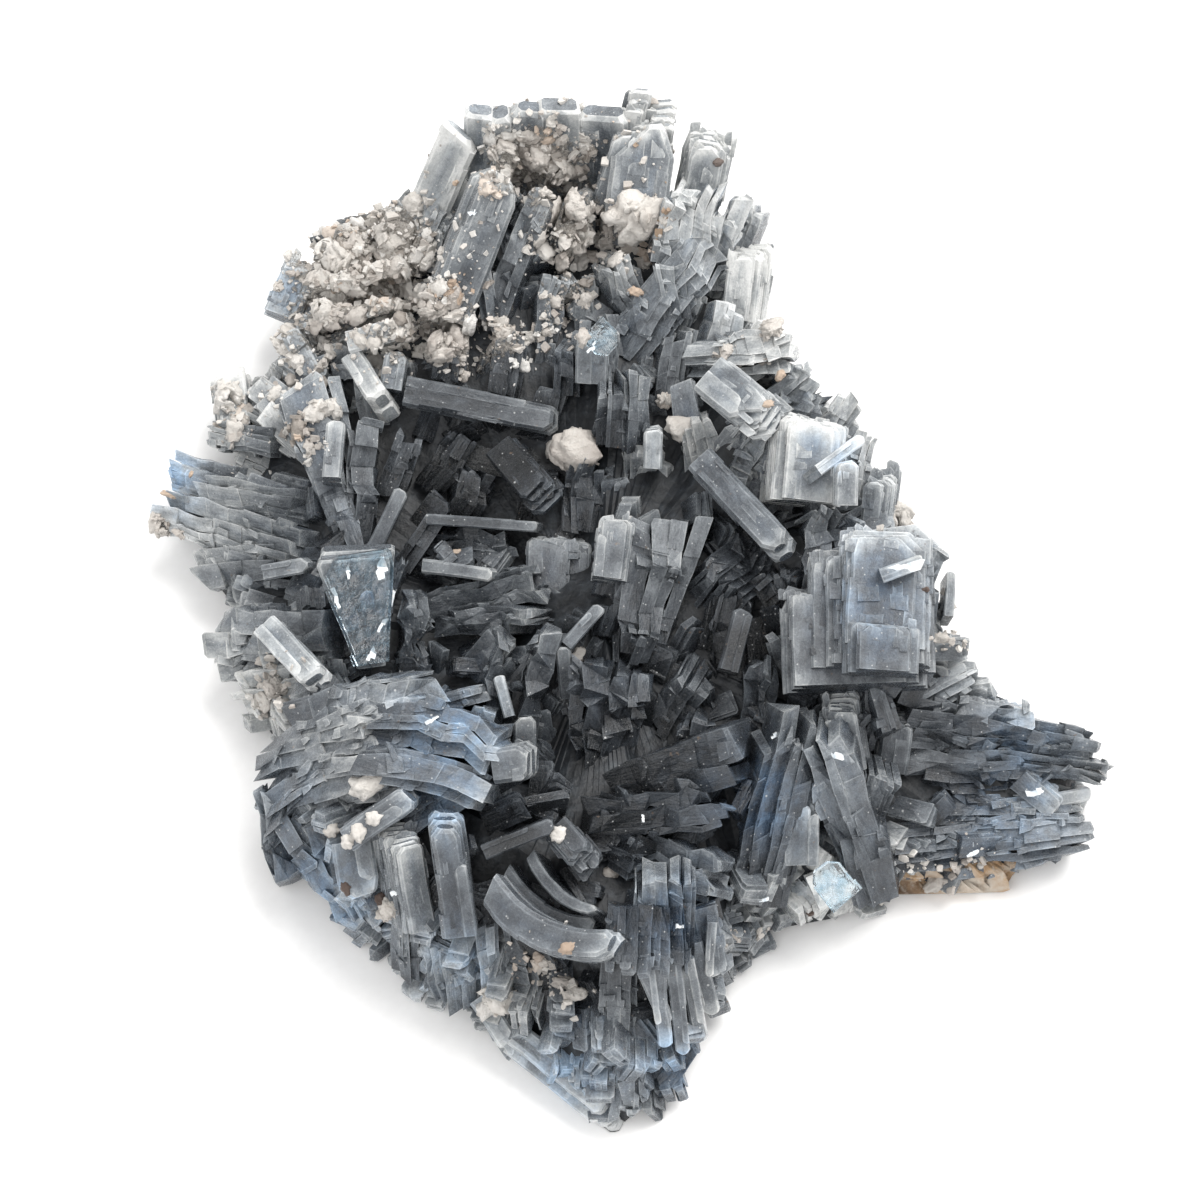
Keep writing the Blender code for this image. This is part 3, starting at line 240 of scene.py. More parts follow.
    ((-30.4, 6.4, 12), (-37.2, 28.0, 18), 3.2, 8, 4, {"flare": 3.0}),
    ((-29.8, 8.0, 13), (-30.0, 22.4, 18), 3.0, 8, 2, {"flare": 1.3}),
    ((-33.6, 15.4, 18), (-33.0, 22.6, 20), 2.5, 4, 1, {"lay": "face"}),
    ((-40.0, 7.0, 14), (-56.2, 11.6, 9), 5.4, 7, 4, {"flare": 1.05}),
    ((-40.0, 12.0, 15), (-51.5, 13.6, 11), 4.6, 7, 2, {}),
    ((-41.5, 4.6, 12), (-52.0, 3.6, 7), 4.4, 6, 3, {"flare": 1.25}),
    ((-47.0, 14.6, 9), (-54.2, 16.4, 7), 5.0, 6, 2, {}),
    ((-42.5, 20.0, 12), (-49.6, 20.8, 9), 3.6, 7, 2, {}),
    ((-46.0, 21.8, 9), (-46.8, 29.6, 11), 5.0, 7, 2, {"lay": "face"}),
    ((-39.0, 35.4, 10), (-35.9, 42.8, 13), 7.4, 6, 2, {"lay": "face"}),
    # Upper left slope under the drusy crust
    ((-37.0, 39.2, 15), (-25.0, 41.6, 21), 2.0, 8, 1, {}),
    ((-32.2, 37.5, 13), (-30.6, 45.2, 19), 5.4, 6, 2, {"lay": "face", "roll": 8}),
    ((-26.2, 40.0, 15), (-24.6, 48.6, 22), 6.0, 6, 2, {"lay": "face", "roll": -8}),
    ((-21.6, 41.0, 17), (-20.6, 47.2, 23), 4.0, 5, 2, {"lay": "face"}),
    ((-38.0, 34.6, 14), (-26.0, 36.8, 20), 2.0, 8, 1, {}),
    ((-35.0, 44.4, 12), (-27.0, 47.4, 17), 4.0, 7, 2, {}),
    ((-27.4, 45.6, 17), (-22.6, 50.6, 20), 3.4, 6, 2, {}),
    ((-31.6, 32.2, 20), (-24.4, 34.2, 23), 3.0, 5, 1, {"lay": "face"}),
    ((-31.2, 30.8, 19), (-27.8, 25.4, 20), 3.0, 6, 1, {"lay": "face"}),
    ((-26.2, 26.4, 19), (-25.4, 31.2, 21), 3.0, 6, 1, {"lay": "face"}),
    # Left: clear crystal, short bar and the bundle that points left
    ((-28.6, -8.4, 14), (-31.0, 5.4, 24), 3.8, 6, 1, {"lay": "face", "flare": 2.75}),
    ((-42.2, 3.4, 15), (-36.6, 4.4, 16), 2.0, 6, 1, {}),
    ((-35.6, -5.0, 16), (-49.4, -5.6, 9), 6.6, 8, 4, {"flare": 1.45}),
    ((-36.0, -9.6, 14), (-46.2, -12.2, 8), 4.6, 7, 2, {}),
    ((-42.1, -3.0, 18), (-36.0, -9.6, 20), 3.5, 4, 1, {"lay": "face"}),
    # Lower left: arched layers
    ((-38.2, -15.4, 18), (-24.0, -12.8, 27), 5.6, 9, 3, {"bend": 0.8}),
    ((-27.8, -15.6, 26), (-12.0, -20.2, 28), 5.4, 9, 3, {"bend": 1.4}),
    ((-13.6, -20.8, 27), (-9.1, -20.2, 28), 4.5, 7, 1, {"lay": "face"}),
    ((-41.8, -21.0, 13), (-27.0, -17.8, 26), 6.6, 9, 3, {"bend": 1.2}),
    ((-41.6, -27.2, 11), (-26.0, -21.8, 25), 6.0, 9, 3, {"bend": 1.2}),
    ((-29.5, -20.8, 26), (-13.6, -25.2, 25), 4.8, 9, 3, {"bend": 1.2}),
    ((-25.4, -28.2, 20), (-17.0, -23.6, 23), 4.0, 8, 2, {}),
    ((-39.8, -33.2, 8), (-41.6, -22.4, 12), 3.6, 7, 2, {}),
    ((-31.2, -23.9, 23.5), (-26.5, -22.3, 24.5), 2.4, 3, 1, {"lay": "face"}),
    ((-31.8, -30.0, 22), (-23.8, -24.6, 26), 3.3, 6, 1, {"lay": "face"}),
    ((-38.6, -28.4, 12), (-28.4, -42.4, 7), 4.2, 6, 3, {}),
    ((-35.2, -29.0, 14), (-26.8, -40.2, 10), 3.0, 6, 2, {}),
    ((-31.0, -30.2, 18), (-30.0, -37.2, 15), 5.2, 6, 1, {"lay": "face", "corner": 1.4}),
    ((-17.5, -42.2, 18), (-19.5, -28.4, 28), 4.5, 7, 1, {"lay": "face"}),
    ((-22.0, -41.4, 15), (-24.2, -28.8, 24), 4.7, 8, 2, {"lay": "face", "roll": 22}),
    ((-17.6, -49.8, 7), (-19.2, -42.4, 13), 6.4, 6, 3, {}),
    ((-24.0, -46.6, 6), (-24.2, -40.0, 12), 4.2, 6, 2, {}),
]

# Pale knobs and chips: across, up, height, radius
KNOBS = [
    (4.5, 47.5, 24.5, 3.4), (-12, 56, 28.5, 1.9), (-8, 55, 27, 2.0), (-5, 52.5, 25, 2.0),
    (-3.2, 49, 27, 1.8), (-2.5, 44.5, 22, 2.0), (-4, 39, 18, 1.8), (-12, 33, 18, 1.9),
    (-20, 31.5, 20.5, 2.0), (-22, 37, 24, 1.8), (-26, 44.5, 18, 1.9), (-30, 38.5, 16, 2.0),
    (-33, 42.5, 17, 2.2), (-35, 37, 17, 1.9), (21.5, 34, 27, 1.7), (-2.9, 18.9, 16.5, 3.0),
    (-13.7, -50.7, 9, 1.9), (-39, 32.5, 12, 2.2), (-56.6, 8.4, 7, 1.7), (-41, -11, 11.5, 1.5),
    (-33, 24, 17.5, 1.5), (38.5, 9.8, 15.5, 2.6), (43.5, -5.5, 15, 2.0), (-26.5, -38.8, 14, 1.5),
    (-47, 25.5, 11, 2.0), (18, -40.6, 4, 1.4), (-33.6, -28.6, 15, 1.2), (7.8, 24.7, 19.5, 1.2),
]


# How light a crystal is painted, by where it stands in the view plane: partly its own tone, partly painted light on
# the pale outer and right-hand crystals and painted shade in the dark hollow: across, up, radius, how much lighter
TONE_AND_PAINTED_LIGHT = [
    (-20, 17, 11, -0.22), (-8, 18, 9, -0.20), (-13, 4, 7, 0.12), (5, -6, 12, -0.10), (17, 2, 8, -0.20),
    (23, -7, 7, -0.20), (-13, -31, 6, -0.30), (-2, -22, 8, -0.16), (14, -24, 9, -0.16), (-2, -39, 8, -0.18),
    (-4, -50, 4, -0.30), (9, 18, 7, 0.18), (-28, 5, 5, -0.10), (40, -22, 4, -0.15), (0, 33, 7, 0.08),
    (15, 52, 11, 0.14), (4, 58, 7, 0.12), (14, 46, 8, 0.12), (27, 27, 9, 0.18), (18, 28, 7, 0.12),
    (31, 17, 7, 0.14), (42, 5, 7, 0.16), (27, -8, 5, 0.16), (44, -6, 5, 0.12), (47, -12, 4, 0.18),
    (62, -19, 6, 0.32), (60, -28, 8, 0.22), (49, -31, 8, 0.02), (21, -36, 7, 0.16), (33, -36, 7, 0.28),
    (28, -34, 5, 0.14), (33, -23, 5, -0.12), (8, -40, 7, 0.06), (9, -50, 8, 0.0), (4, -60, 6, 0.0),
    (-5, -60, 8, 0.18), (-6, -41, 7, 0.12), (-18, 24, 6, 0.04), (-18, -34, 5, 0.06), (-13, -16, 6, 0.16),
    (8, 8, 8, 0.14), (-37, -12, 8, 0.16), (-34, -36, 7, 0.18), (-41, -21, 7, 0.22), (-31, 2, 5, -0.10),
    (-14, 43, 7, 0.0), (-20, 54, 7, 0.28), (-27, 42, 10, 0.12), (-40, 36, 8, 0.18), (-47, 25, 7, 0.22),
    (-50, 9, 8, 0.10), (-33, 22, 7, 0.08), (-6, 60, 9, 0.08), (-44, -8, 6, 0.14), (-18, -49, 8, 0.22),
    (16, 18, 5, 0.08), (-28, 31, 8, 0.16), (22, 15, 4, 0.08), (1, 43, 7, 0.16), (-20, -18, 5, 0.06),
    (-22, 0, 5, -0.06), (5, -16, 6, -0.06), (-46, 13, 9, 0.14), (17, 38, 8, 0.16), (-22, -23, 8, 0.06),
    (12, -51, 7, 0.04), (4, 5, 5, 0.08), (-24, 4, 5, 0.10), (-33, 12, 6, 0.12), (-40, 0, 6, 0.06),
    (56, -15, 5, 0.10), (51, -22, 5, -0.06), (-12, 36, 6, 0.06),
]
# Where the crystals turn blue: across, up, radius, amount
BLUER = [
    (-19, -17, 6, 0.9), (20, -25, 5, 1.1), (9, -58, 4, 0.9), (-4, -59, 6, 0.6), (-18, -46, 5, 0.6),
    (34, 0, 7, 0.5), (50, -28, 7, 0.5), (30, 18, 3, 0.4), (-54, 15, 4, 0.8), (-40, 38, 4, 0.6),
    (-30, 0, 4, 0.9), (-20, -26, 4, 0.6), (-36, -34, 5, 0.6), (-39, -24, 4, 0.4), (9, -39, 5, 0.8),
    (53, -18, 6, 0.6), (-31, -40, 5, 0.6),
]
# Where the drusy crust grows: across, up, radius, share of the grains
CRUST = [
    (-32, 40, 7, 0.8), (-26, 45, 6, 0.7), (-21, 35, 5, 0.5), (-12, 33, 4, 0.5), (-6, 55, 5, 0.6),
    (-11, 55, 4, 0.6), (-3, 46, 5, 0.7), (-4, 37, 4, 0.4), (4, 46, 4, 0.4), (-38, 31, 5, 0.4),
    (-26, 31, 3, 0.3), (-47, 24, 4, 0.35), (-55, 9, 3, 0.3), (-36, 20, 4, 0.2), (-17, 31, 4, 0.4),
    (-41, -11, 3, 0.12), (-5, -46, 4, 0.25), (40, 9, 3, 0.3), (45, -5.5, 2.5, 0.25), (20, 30, 4, 0.08),
    (44, -34.5, 3, 0.3), (49, -34.8, 3, 0.3), (39, -34.5, 2, 0.2), (18, -41, 2, 0.2),
]

# Small glassy crystals over the others: foot, tip, width, depth, flare, cuts at the tip
CLEAR = [
    ((-28.6, -8.0, 17), (-31.0, 5.6, 25.5), 4.4, 1.5, 2.4, (0.5, 1.6)),
    ((31.0, -37.6, 15), (27.5, -33.2, 16.5), 4.6, 1.0, 1.0, (0.8, 0.8)),
    ((-1.0, 34.0, 27), (1.6, 31.4, 26), 4.0, 1.0, 1.0, (0.6, 0.9)),
]
# Loose-looking pale chips and coloured grains: across, up, length, width, turn, lightness, orange, brown
CHIPS = [
    (4.5, 48.5, 6.5, 5.5, 0.4, 0.69, 0.05, 0), (4, 45, 4.5, 3, 1.2, 0.62, 0.15, 0),
    (-2.9, 19, 7.6, 4.6, 0.15, 0.74, 0.00, 0), (-13.7, -50.7, 3.6, 2.8, 0.6, 0.74, 0.00, 0),
    (-2.8, -7, 2.4, 1.5, 1.2, 0.67, 0.00, 0), (-5.2, -29.3, 2.1, 1.8, 0.5, 0.69, 0.00, 0),
    (1.6, -34, 2.7, 1.8, 0.5, 0.45, 0.00, 0), (-29, -23.2, 4.4, 2.8, 0.4, 0.65, 0.00, 0),
    (-33.5, -28.8, 1.8, 1.5, 0.2, 0.60, 0.00, 0), (-30.2, -29, 2.6, 1.8, 1.5, 0.58, 0.00, 0),
    (-28.2, -27.2, 2, 1.7, 0.3, 0.65, 0.00, 0), (-31.6, -30.2, 1.8, 1.5, 2.2, 0.62, 0.00, 0),
    (-26.8, -39, 2.4, 1.6, 0.3, 0.58, 0.00, 0), (-27.3, -37.4, 1.8, 1.6, 1.3, 0.40, 0.00, 0.9),
    (-31.8, -36, 1.6, 1.2, 2, 0.40, 0.00, 0.9), (26.3, -39.2, 0.9, 0.7, 0, 0.40, 0.00, 0.9),
    (14.8, 54.7, 1.3, 1, 0.4, 0.40, 0.00, 0.8), (40.7, 1.3, 0.9, 0.7, 0, 0.40, 0.00, 0.9),
    (-18, 52.2, 1.1, 0.64, 0.9, 0.60, 0.60, 0), (22.5, 28, 1.8, 1, 1, 0.60, 0.52, 0),
    (21, 24.5, 1.4, 0.96, 0.4, 0.60, 0.52, 0), (-18, 6, 1.3, 0.72, 0.2, 0.60, 0.52, 0),
    (4.5, 38.5, 1.3, 2.1, 1.3, 0.60, 0.56, 0), (-54, 13.2, 2.1, 0.72, 2.8, 0.60, 0.56, 0),
    (-51, 15.8, 1.1, 0.64, 1, 0.60, 0.60, 0), (-4, -43.5, 2.2, 1.4, 0.3, 0.35, 0.50, 0.2),
    (-7.5, -44.5, 1.6, 1.3, 0.9, 0.50, 0.30, 0.2), (-43, 32.5, 2.4, 0.96, 0.6, 0.60, 0.45, 0),
    (8.2, 25, 2.6, 1.7, 1.2, 0.69, 0.20, 0), (10, 21.5, 3, 3.4, 1.4, 0.62, 0.00, 0.1),
]
# Painted highlights: near-white facets set where light glints: across, up, length, width, turn
GLINTS = [
    (-33.0, 0.2, 2.6, 0.5, 1.85), (-31.4, 3.4, 1.6, 0.4, 1.7), (-27.4, 3.8, 2.4, 1.5, 1.9),
    (-25.9, 0.8, 3.4, 0.7, 1.45), (-27.3, -3.2, 2.0, 0.5, 1.2), (-28.6, -6.8, 1.8, 0.9, 1.3),
    (-15.8, 48.5, 1.3, 1.0, 0.6), (29.0, -19.4, 2.6, 0.8, -0.5), (22.0, -17.0, 1.2, 0.5, 0.4),
    (54.4, -24.1, 2.2, 0.9, 0.1), (38.0, 4.1, 4.4, 1.2, 0.2), (-25.5, -36.5, 1.4, 0.6, 0.6),
    (5.4, -27.2, 1.1, 0.4, 1.5), (-21.0, -15.0, 1.6, 0.5, 0.4), (9.6, -40.8, 1.6, 0.6, 0.0),
    (20.5, -37.5, 1.2, 0.6, 0.3), (46.5, -31.6, 1.6, 0.7, 0.3), (-1.0, 31.6, 1.8, 0.6, 0.8),
]
DRUSE_SLOT = "druse"


def place(across, up, height):
    """The point (mm) at a height that the view sees at across, up in the plane through its aim."""
    eye = Vector((0.0, -VIEW_DISTANCE * math.cos(VIEW_ELEVATION),
                  AIM_HEIGHT + VIEW_DISTANCE * math.sin(VIEW_ELEVATION)))
    target = Vector((across, up * math.sin(VIEW_ELEVATION), AIM_HEIGHT + up * math.cos(VIEW_ELEVATION)))
    ray = target - eye
    return eye + ray * ((height - eye.z) / ray.z)


def seen_at(point):
    """The across, up that the view sees a world point (mm) at."""
    eye = place(0.0, 0.0, AIM_HEIGHT + VIEW_DISTANCE * math.sin(VIEW_ELEVATION) - 0.001)
    ray = point - eye
    away = Vector((0.0, math.cos(VIEW_ELEVATION), -math.sin(VIEW_ELEVATION)))
    ray *= VIEW_DISTANCE / ray.dot(away)
    return ray.x, ray.y * math.sin(VIEW_ELEVATION) + ray.z * math.cos(VIEW_ELEVATION)


def field(spots, across, up):
    """The sum of soft round spots at one place in the view plane."""
    total = 0.0
    for middle, level, radius, amount in spots:
        total += amount * math.exp(-((across - middle) ** 2 + (up - level) ** 2) / (radius * radius))
    return total


def field_of_points(spots, points):
    """The sum of soft round spots at an array of world points (mm)."""
    eye = np.array((0.0, -VIEW_DISTANCE * math.cos(VIEW_ELEVATION),
                    AIM_HEIGHT + VIEW_DISTANCE * math.sin(VIEW_ELEVATION)))
    rays = points - eye
    rays *= VIEW_DISTANCE / (rays @ np.array((0.0, math.cos(VIEW_ELEVATION), -math.sin(VIEW_ELEVATION))))[:, None]
    across = rays[:, 0]
    up = rays[:, 1] * math.sin(VIEW_ELEVATION) + rays[:, 2] * math.cos(VIEW_ELEVATION)
    total = np.zeros(len(points))
    for middle, level, radius, amount in spots:
        total += amount * np.exp(-((across - middle) ** 2 + (up - level) ** 2) / (radius * radius))
    return total


def crystal_frame(foot, tip, roll):
    """Axes of a crystal: X from foot to tip, Y across it, Z out of the face that the view sees."""
    along = (tip - foot).normalized()
    away = Vector((0.0, math.cos(VIEW_ELEVATION), -math.sin(VIEW_ELEVATION)))
    outward = -(away - along * away.dot(along)).normalized()
    across = outward.cross(along)
    axes = Matrix((along, across, outward)).transposed()
    return Matrix.Translation(foot) @ (axes @ Matrix.Rotation(math.radians(roll), 3, "X")).to_4x4()


# A crystal plate is a six-sided tablet: its outline at both faces, then the two face centres
SIDES = 6
FAN = [(k, (k + 1) % SIDES, 2 * SIDES) for k in range(SIDES)]
FAN_BACK = [(SIDES + (k + 1) % SIDES, SIDES + k, 2 * SIDES + 1) for k in range(SIDES)]
WALLS = [(SIDES + k, SIDES + (k + 1) % SIDES, (k + 1) % SIDES, k) for k in range(SIDES)]
TABLET_LOOPS = np.array([corner for face in FAN + FAN_BACK + WALLS for corner in face])
TABLET_STARTS = np.array([3 * k for k in range(2 * SIDES)] + [6 * SIDES + 4 * k for k in range(SIDES)])
TABLET_POINTS = 2 * SIDES + 2
# A plate that reaches further than this outside the solids' box is left out
OUTSIDE_LIMIT = 0.5


class Blades:
    """Collects thin crystal plates, each a tablet with a chipped tip, and makes them one mesh."""

    def __init__(self, seed):
        self.random = np.random.default_rng(seed)
        self.parts = []

    def add(self, place_frame, rows, edge_on, length, depth=1.0, flare=1.0, bend=0.0, warp=0.2,
            tint=(0.3, 0.0, 0.0), fade=0.22, saw=0.0):
        """rows: start, end, middle, half, low, high, chip, other chip, slant, lean, lift, shade, taper."""
        start, end, middle, half, low, high, chip, other, slant, lean, lift, shade, taper = (
            rows[:, k:k + 1] for k in range(13))
        reach = np.minimum(half, 0.5 * (end - start))
        cut, trim = chip * reach, other * reach
        tilt = slant * half
        x = np.hstack((start, end - cut - tilt, end - tilt, end + tilt, end - trim + tilt, start))
        s = np.hstack((-half, -half, -half + 0.8 * cut, half - 0.8 * trim, half, half))
        rough = 0.05 * reach + 0.03
        x = x + self.random.normal(0, 1, x.shape) * rough
        s = s + self.random.normal(0, 1, s.shape) * rough + middle
        x = np.hstack((x, x, x.mean(axis=1, keepdims=True), x.mean(axis=1, keepdims=True)))
        drop = np.abs(saw) * (high - low) * self.random.uniform(0.4, 1.3, half.shape) * (np.arange(SIDES) > 2)
        s = np.hstack((s - drop * (saw > 0), s - drop * (saw < 0), middle, middle))
        core = 0.5 * (high + low)
        slim = (high - core) * np.hstack((1.0 + 0.0 * taper, 1.0 - 0.3 * taper, 1.0 - taper,
                                          1.0 - taper, 1.0 - 0.3 * taper, 1.0 + 0.0 * taper))
        thick = np.hstack((core + slim, core - slim, high - 0.1 * taper * (high - low), low))
        y, z = (-thick, s) if edge_on else (s, thick)
        share = x / length
        y = y * (1.0 + (flare - 1.0) * share) + lean * x + 4.0 * bend * share * (1.0 - share)
        z = z + lift * x
        local = np.stack((x, y, z), axis=2)
        waves = self.random.normal(0, 1, (4, 3))
        for wave, turn in zip(waves, self.random.uniform(0, 6.28, 4)):
            wave *= self.random.uniform(0.7, 1.6) / np.linalg.norm(wave)
            push = np.cross(wave, (0.3, 1.0, 0.6))
            local = local + 0.5 * warp * np.sin(local @ wave + turn)[:, :, None] * push
        turn = np.array(place_frame.to_3x3())
        shift = np.array(place_frame.translation)
        colour = np.empty(local.shape)
        colour[:] = tint
        # Painted light rises towards each plate's tip, and painted shade darkens its root and its deep side
        colour[:, :, 0] += shade + fade * (share - 0.6) + 0.10 * np.clip(local[:, :, 2] / depth, -1, 0)
        grain = local + self.random.uniform(-90, 90, 3)
        self.parts.append((local @ turn.T + shift, grain, colour, np.hstack((half, chip > 0.03))))

    def make(self, name, material, slot):
        """One mesh of all plates so far, with the facet map that the material reads."""
        points, grains, tints, halves = (np.concatenate(stack) for stack in zip(*self.parts))
        low, high = (np.array(side) / MM for side in CAD_BOX)
        inside = ((points > low - OUTSIDE_LIMIT) & (points < high + OUTSIDE_LIMIT)).all(axis=(1, 2))
        points, grains, tints, halves = points[inside], grains[inside], tints[inside], halves[inside]
        points = np.clip(points, low + 0.02, high - 0.02).reshape(-1, 3)
        total = len(halves)
        base = TABLET_POINTS * np.arange(total)[:, None]
        loops = (TABLET_LOOPS[None] + base).ravel()
        starts = (TABLET_STARTS[None] + len(TABLET_LOOPS) * np.arange(total)[:, None]).ravel()
        made = array_mesh(name, points * MM, loops, starts)
        facet = np.zeros((total, len(TABLET_LOOPS), 2), np.float32)
        facet[:, :6 * SIDES, 1] = 0.5
        facet[:, 2:6 * SIDES:3, 0] = 0.5
        joined = np.concatenate([np.arange(3 * k, 3 * k + 3) for k in (1, 2, 3, SIDES + 1, SIDES + 2, SIDES + 3)])
        facet[np.ix_(halves[:, 1] < 0.5, joined, [0])] = 0.5
        facet[:, 6 * SIDES:] = np.tile(np.array([(0, 0), (1, 0), (1, 1), (0, 1)], np.float32), (SIDES, 1))
        for k in (0, 4):
            facet[:, 6 * SIDES + 4 * k:6 * SIDES + 4 * k + 4, 0] = 0.5
        for k in (5, SIDES + 5):
            facet[:, 3 * k:3 * k + 3, 0] = 0.5
        walls = (np.array(WALLS)[None] + base[:, :, None]).reshape(-1, 4)
        wide = np.linalg.norm(points[walls[:, 1]] - points[walls[:, 0]], axis=1).reshape(total, SIDES)
        tall = np.linalg.norm(points[walls[:, 2]] - points[walls[:, 1]], axis=1).reshape(total, SIDES)
        size = np.zeros((total, 3 * SIDES, 3), np.float32)
        size[:, :2 * SIDES, 0] = 2.0 * halves[:, :1]
        size[:, :2 * SIDES, 1] = 100.0
        size[:, 2 * SIDES:, 0] = wide
        size[:, (2 * SIDES, 2 * SIDES + 4), 0] = 100.0
        size[:, 2 * SIDES:, 1] = tall
        size[:, 2 * SIDES:, 2] = 1.0
        put(made, "facet", "FLOAT2", "CORNER", "vector", facet)
        put(made, "facet_size", "FLOAT_VECTOR", "FACE", "vector", size)
        put(made, "grain", "FLOAT_VECTOR", "POINT", "vector", grains)
        put(made, "tint", "FLOAT_VECTOR", "POINT", "vector", tints)
        put_places(made, points)
        return finish_piece(made, material, "barite_crystals")


def put_places(made, points):
    """Stores at every point (mm) how blue the crystals are there and how much crust coats them."""
    places = np.stack((field_of_points(BLUER, points), field_of_points(CRUST, points), 0.0 * points[:, 0]), axis=1)
    put(made, "places", "FLOAT_VECTOR", "POINT", "vector", places)


# A whole crystal's cross-section has eight corners
RING = 8


class Prisms:
    """Collects whole crystals, each a bevelled bar with stepped sides and a cut tip, and makes them one mesh."""

    def __init__(self, seed):
        self.random = np.random.default_rng(seed)
        self.points, self.grains, self.tints = [], [], []
        self.loops, self.starts, self.facets, self.sizes = [], [], [], []
        self.total = 0
        self.corners = 0

    def stations(self, length, width, flare, cuts, bevel, begin):
        """Along a crystal: how far, half width to the left, to the right, and how far the faces draw in."""
        chance = self.random
        drawn = [0.0, 0.0]
        spots = []
        x = begin
        last = length - max(cuts) - bevel
        while True:
            half = 0.5 * width * (1.0 + (flare - 1.0) * x / length)
            spots.append((x, half - drawn[0], half - drawn[1], 0.0))
            if x >= last:
                break
            x = min(x + chance.uniform(0.8, 2.4), last)
            if chance.random() < 0.45:
                half = 0.5 * width * (1.0 + (flare - 1.0) * x / length)
                spots.append((x - 0.05, half - drawn[0], half - drawn[1], 0.0))
                side = int(chance.random() < 0.5)
                drawn[side] = min(max(drawn[side] + chance.uniform(-0.10, 0.14) * half, 0.0), 0.25 * half)
        half = 0.5 * width * flare
        left, right = (half - drawn[side] - cuts[side] for side in (0, 1))
        spots.append((length - bevel, left, right, 0.0))
        spots.append((length, left - bevel, right - bevel, bevel))
        return [(x, max(left, 0.1 * half), max(right, 0.1 * half), draw) for x, left, right, draw in spots]

    def add(self, place_frame, length, width, low, high, flare=1.0, cuts=(0.3, 0.3), bend=0.0, slide=0.0,
            begin=0.0, tint=(0.3, 0.0, 0.0), warp=0.12, fade=0.10, slant=0.0):
        chance = self.random
        bevel = min(0.12 * width, 0.28 * (high - low), 0.5) * chance.uniform(0.7, 1.2)
        spots = self.stations(length, width, flare, cuts, bevel, begin)
        local = []
        for x, left, right, draw in spots:
            top, bottom = high - draw, low + draw
            local.append([(x, -left + bevel, top), (x, right - bevel, top), (x, right, top - bevel),
                          (x, right, bottom + bevel), (x, right - bevel, bottom), (x, -left + bevel, bottom),
                          (x, -left, bottom + bevel), (x, -left, top - bevel)])
        local = np.array(local)
        count = len(spots)
        share = local[:, :, 0] / length
        local[:, :, 0] += slant * local[:, :, 1] * share ** 3
        local[:, :, 1] += slide + 4.0 * bend * share * (1.0 - share)
        waves = chance.normal(0, 1, (4, 3))
        for wave, turn in zip(waves, chance.uniform(0, 6.28, 4)):
            wave *= chance.uniform(0.5, 1.3) / np.linalg.norm(wave)
            local = local + 0.5 * warp * np.sin(local @ wave + turn)[:, :, None] * np.cross(wave, (0.3, 1.0, 0.6))
        colour = np.empty(local.shape)
        colour[:] = tint
        # Painted light rises towards each crystal's tip, with an extra painted glow over its last fifth, and painted
        # shade darkens its root
        colour[:, :, 0] += fade * (share - 0.6) + 0.05 * np.clip((share - 0.8) / 0.2, 0, 1)
        self.points.append(local.reshape(-1, 3) @ np.array(place_frame.to_3x3()).T + np.array(place_frame.translation))
        self.grains.append(local.reshape(-1, 3) + chance.uniform(-90, 90, 3))
        self.tints.append(colour.reshape(-1, 3))
        for k in range(count - 1):
            along = (spots[k][0] / length, spots[k + 1][0] / length)
            for side in range(RING):
                after = (side + 1) % RING
                a, b = self.total + k * RING, self.total + (k + 1) * RING
                self.face((a + side, b + side, b + after, a + after),
                          ((0, along[0]), (0, along[1]), (1, along[1]), (1, along[0])),
                          (np.linalg.norm(local[k, side, 1:] - local[k, after, 1:]), length, 0.5))
        middle = ((0.5, 0.5),) * RING
        self.face(range(self.total, self.total + RING), middle, (width, width, 0.5))
        final = self.total + (count - 1) * RING
        self.face(range(final + RING - 1, final - 1, -1), middle, (width, width, 0.5))
        self.total += count * RING

    def face(self, corners, facets, size):
        self.starts.append(self.corners)
        self.loops += corners
        self.facets += facets
        self.sizes.append(size)
        self.corners += len(corners)

    def make(self, name, material, slot):
        low, high = (np.array(side) / MM for side in CAD_BOX)
        points = np.clip(np.concatenate(self.points), low + 0.02, high - 0.02)
        made = array_mesh(name, points * MM, self.loops, self.starts)
        put(made, "facet", "FLOAT2", "CORNER", "vector", self.facets)
        put(made, "facet_size", "FLOAT_VECTOR", "FACE", "vector", self.sizes)
        put(made, "grain", "FLOAT_VECTOR", "POINT", "vector", np.concatenate(self.grains))
        put(made, "tint", "FLOAT_VECTOR", "POINT", "vector", np.concatenate(self.tints))
        put_places(made, points)
        return finish_piece(made, material, "barite_crystals")


def array_mesh(name, points, loops, starts, smooth=False):
    """A mesh from arrays: points (metres), the point of every loop, where every face starts."""
    mesh = bpy.data.meshes.new(name)
    mesh.vertices.add(len(points))
    mesh.vertices.foreach_set("co", np.ascontiguousarray(points, np.float32).ravel())
    mesh.loops.add(len(loops))
    mesh.loops.foreach_set("vertex_index", np.ascontiguousarray(loops, np.int32))
    mesh.polygons.add(len(starts))
    mesh.polygons.foreach_set("loop_start", np.ascontiguousarray(starts, np.int32))
    mesh.update(calc_edges=True)
    if smooth:
        mesh.shade_smooth()
    else:
        mesh.shade_flat()
    made = bpy.data.objects.new(name, mesh)
    bpy.context.scene.collection.objects.link(made)
    return made


def put(made, name, kind, domain, key, values):
    """Stores an attribute on a mesh."""
    attribute = made.data.attributes.new(name, kind, domain)
    attribute.data.foreach_set(key, np.ascontiguousarray(values, np.float32).ravel())


def finish_piece(made, material, node):
    """Gives a piece its material and ties it to the CAD."""
    made.data.materials.append(material)
    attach(made, "root")
    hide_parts(node)
    return made


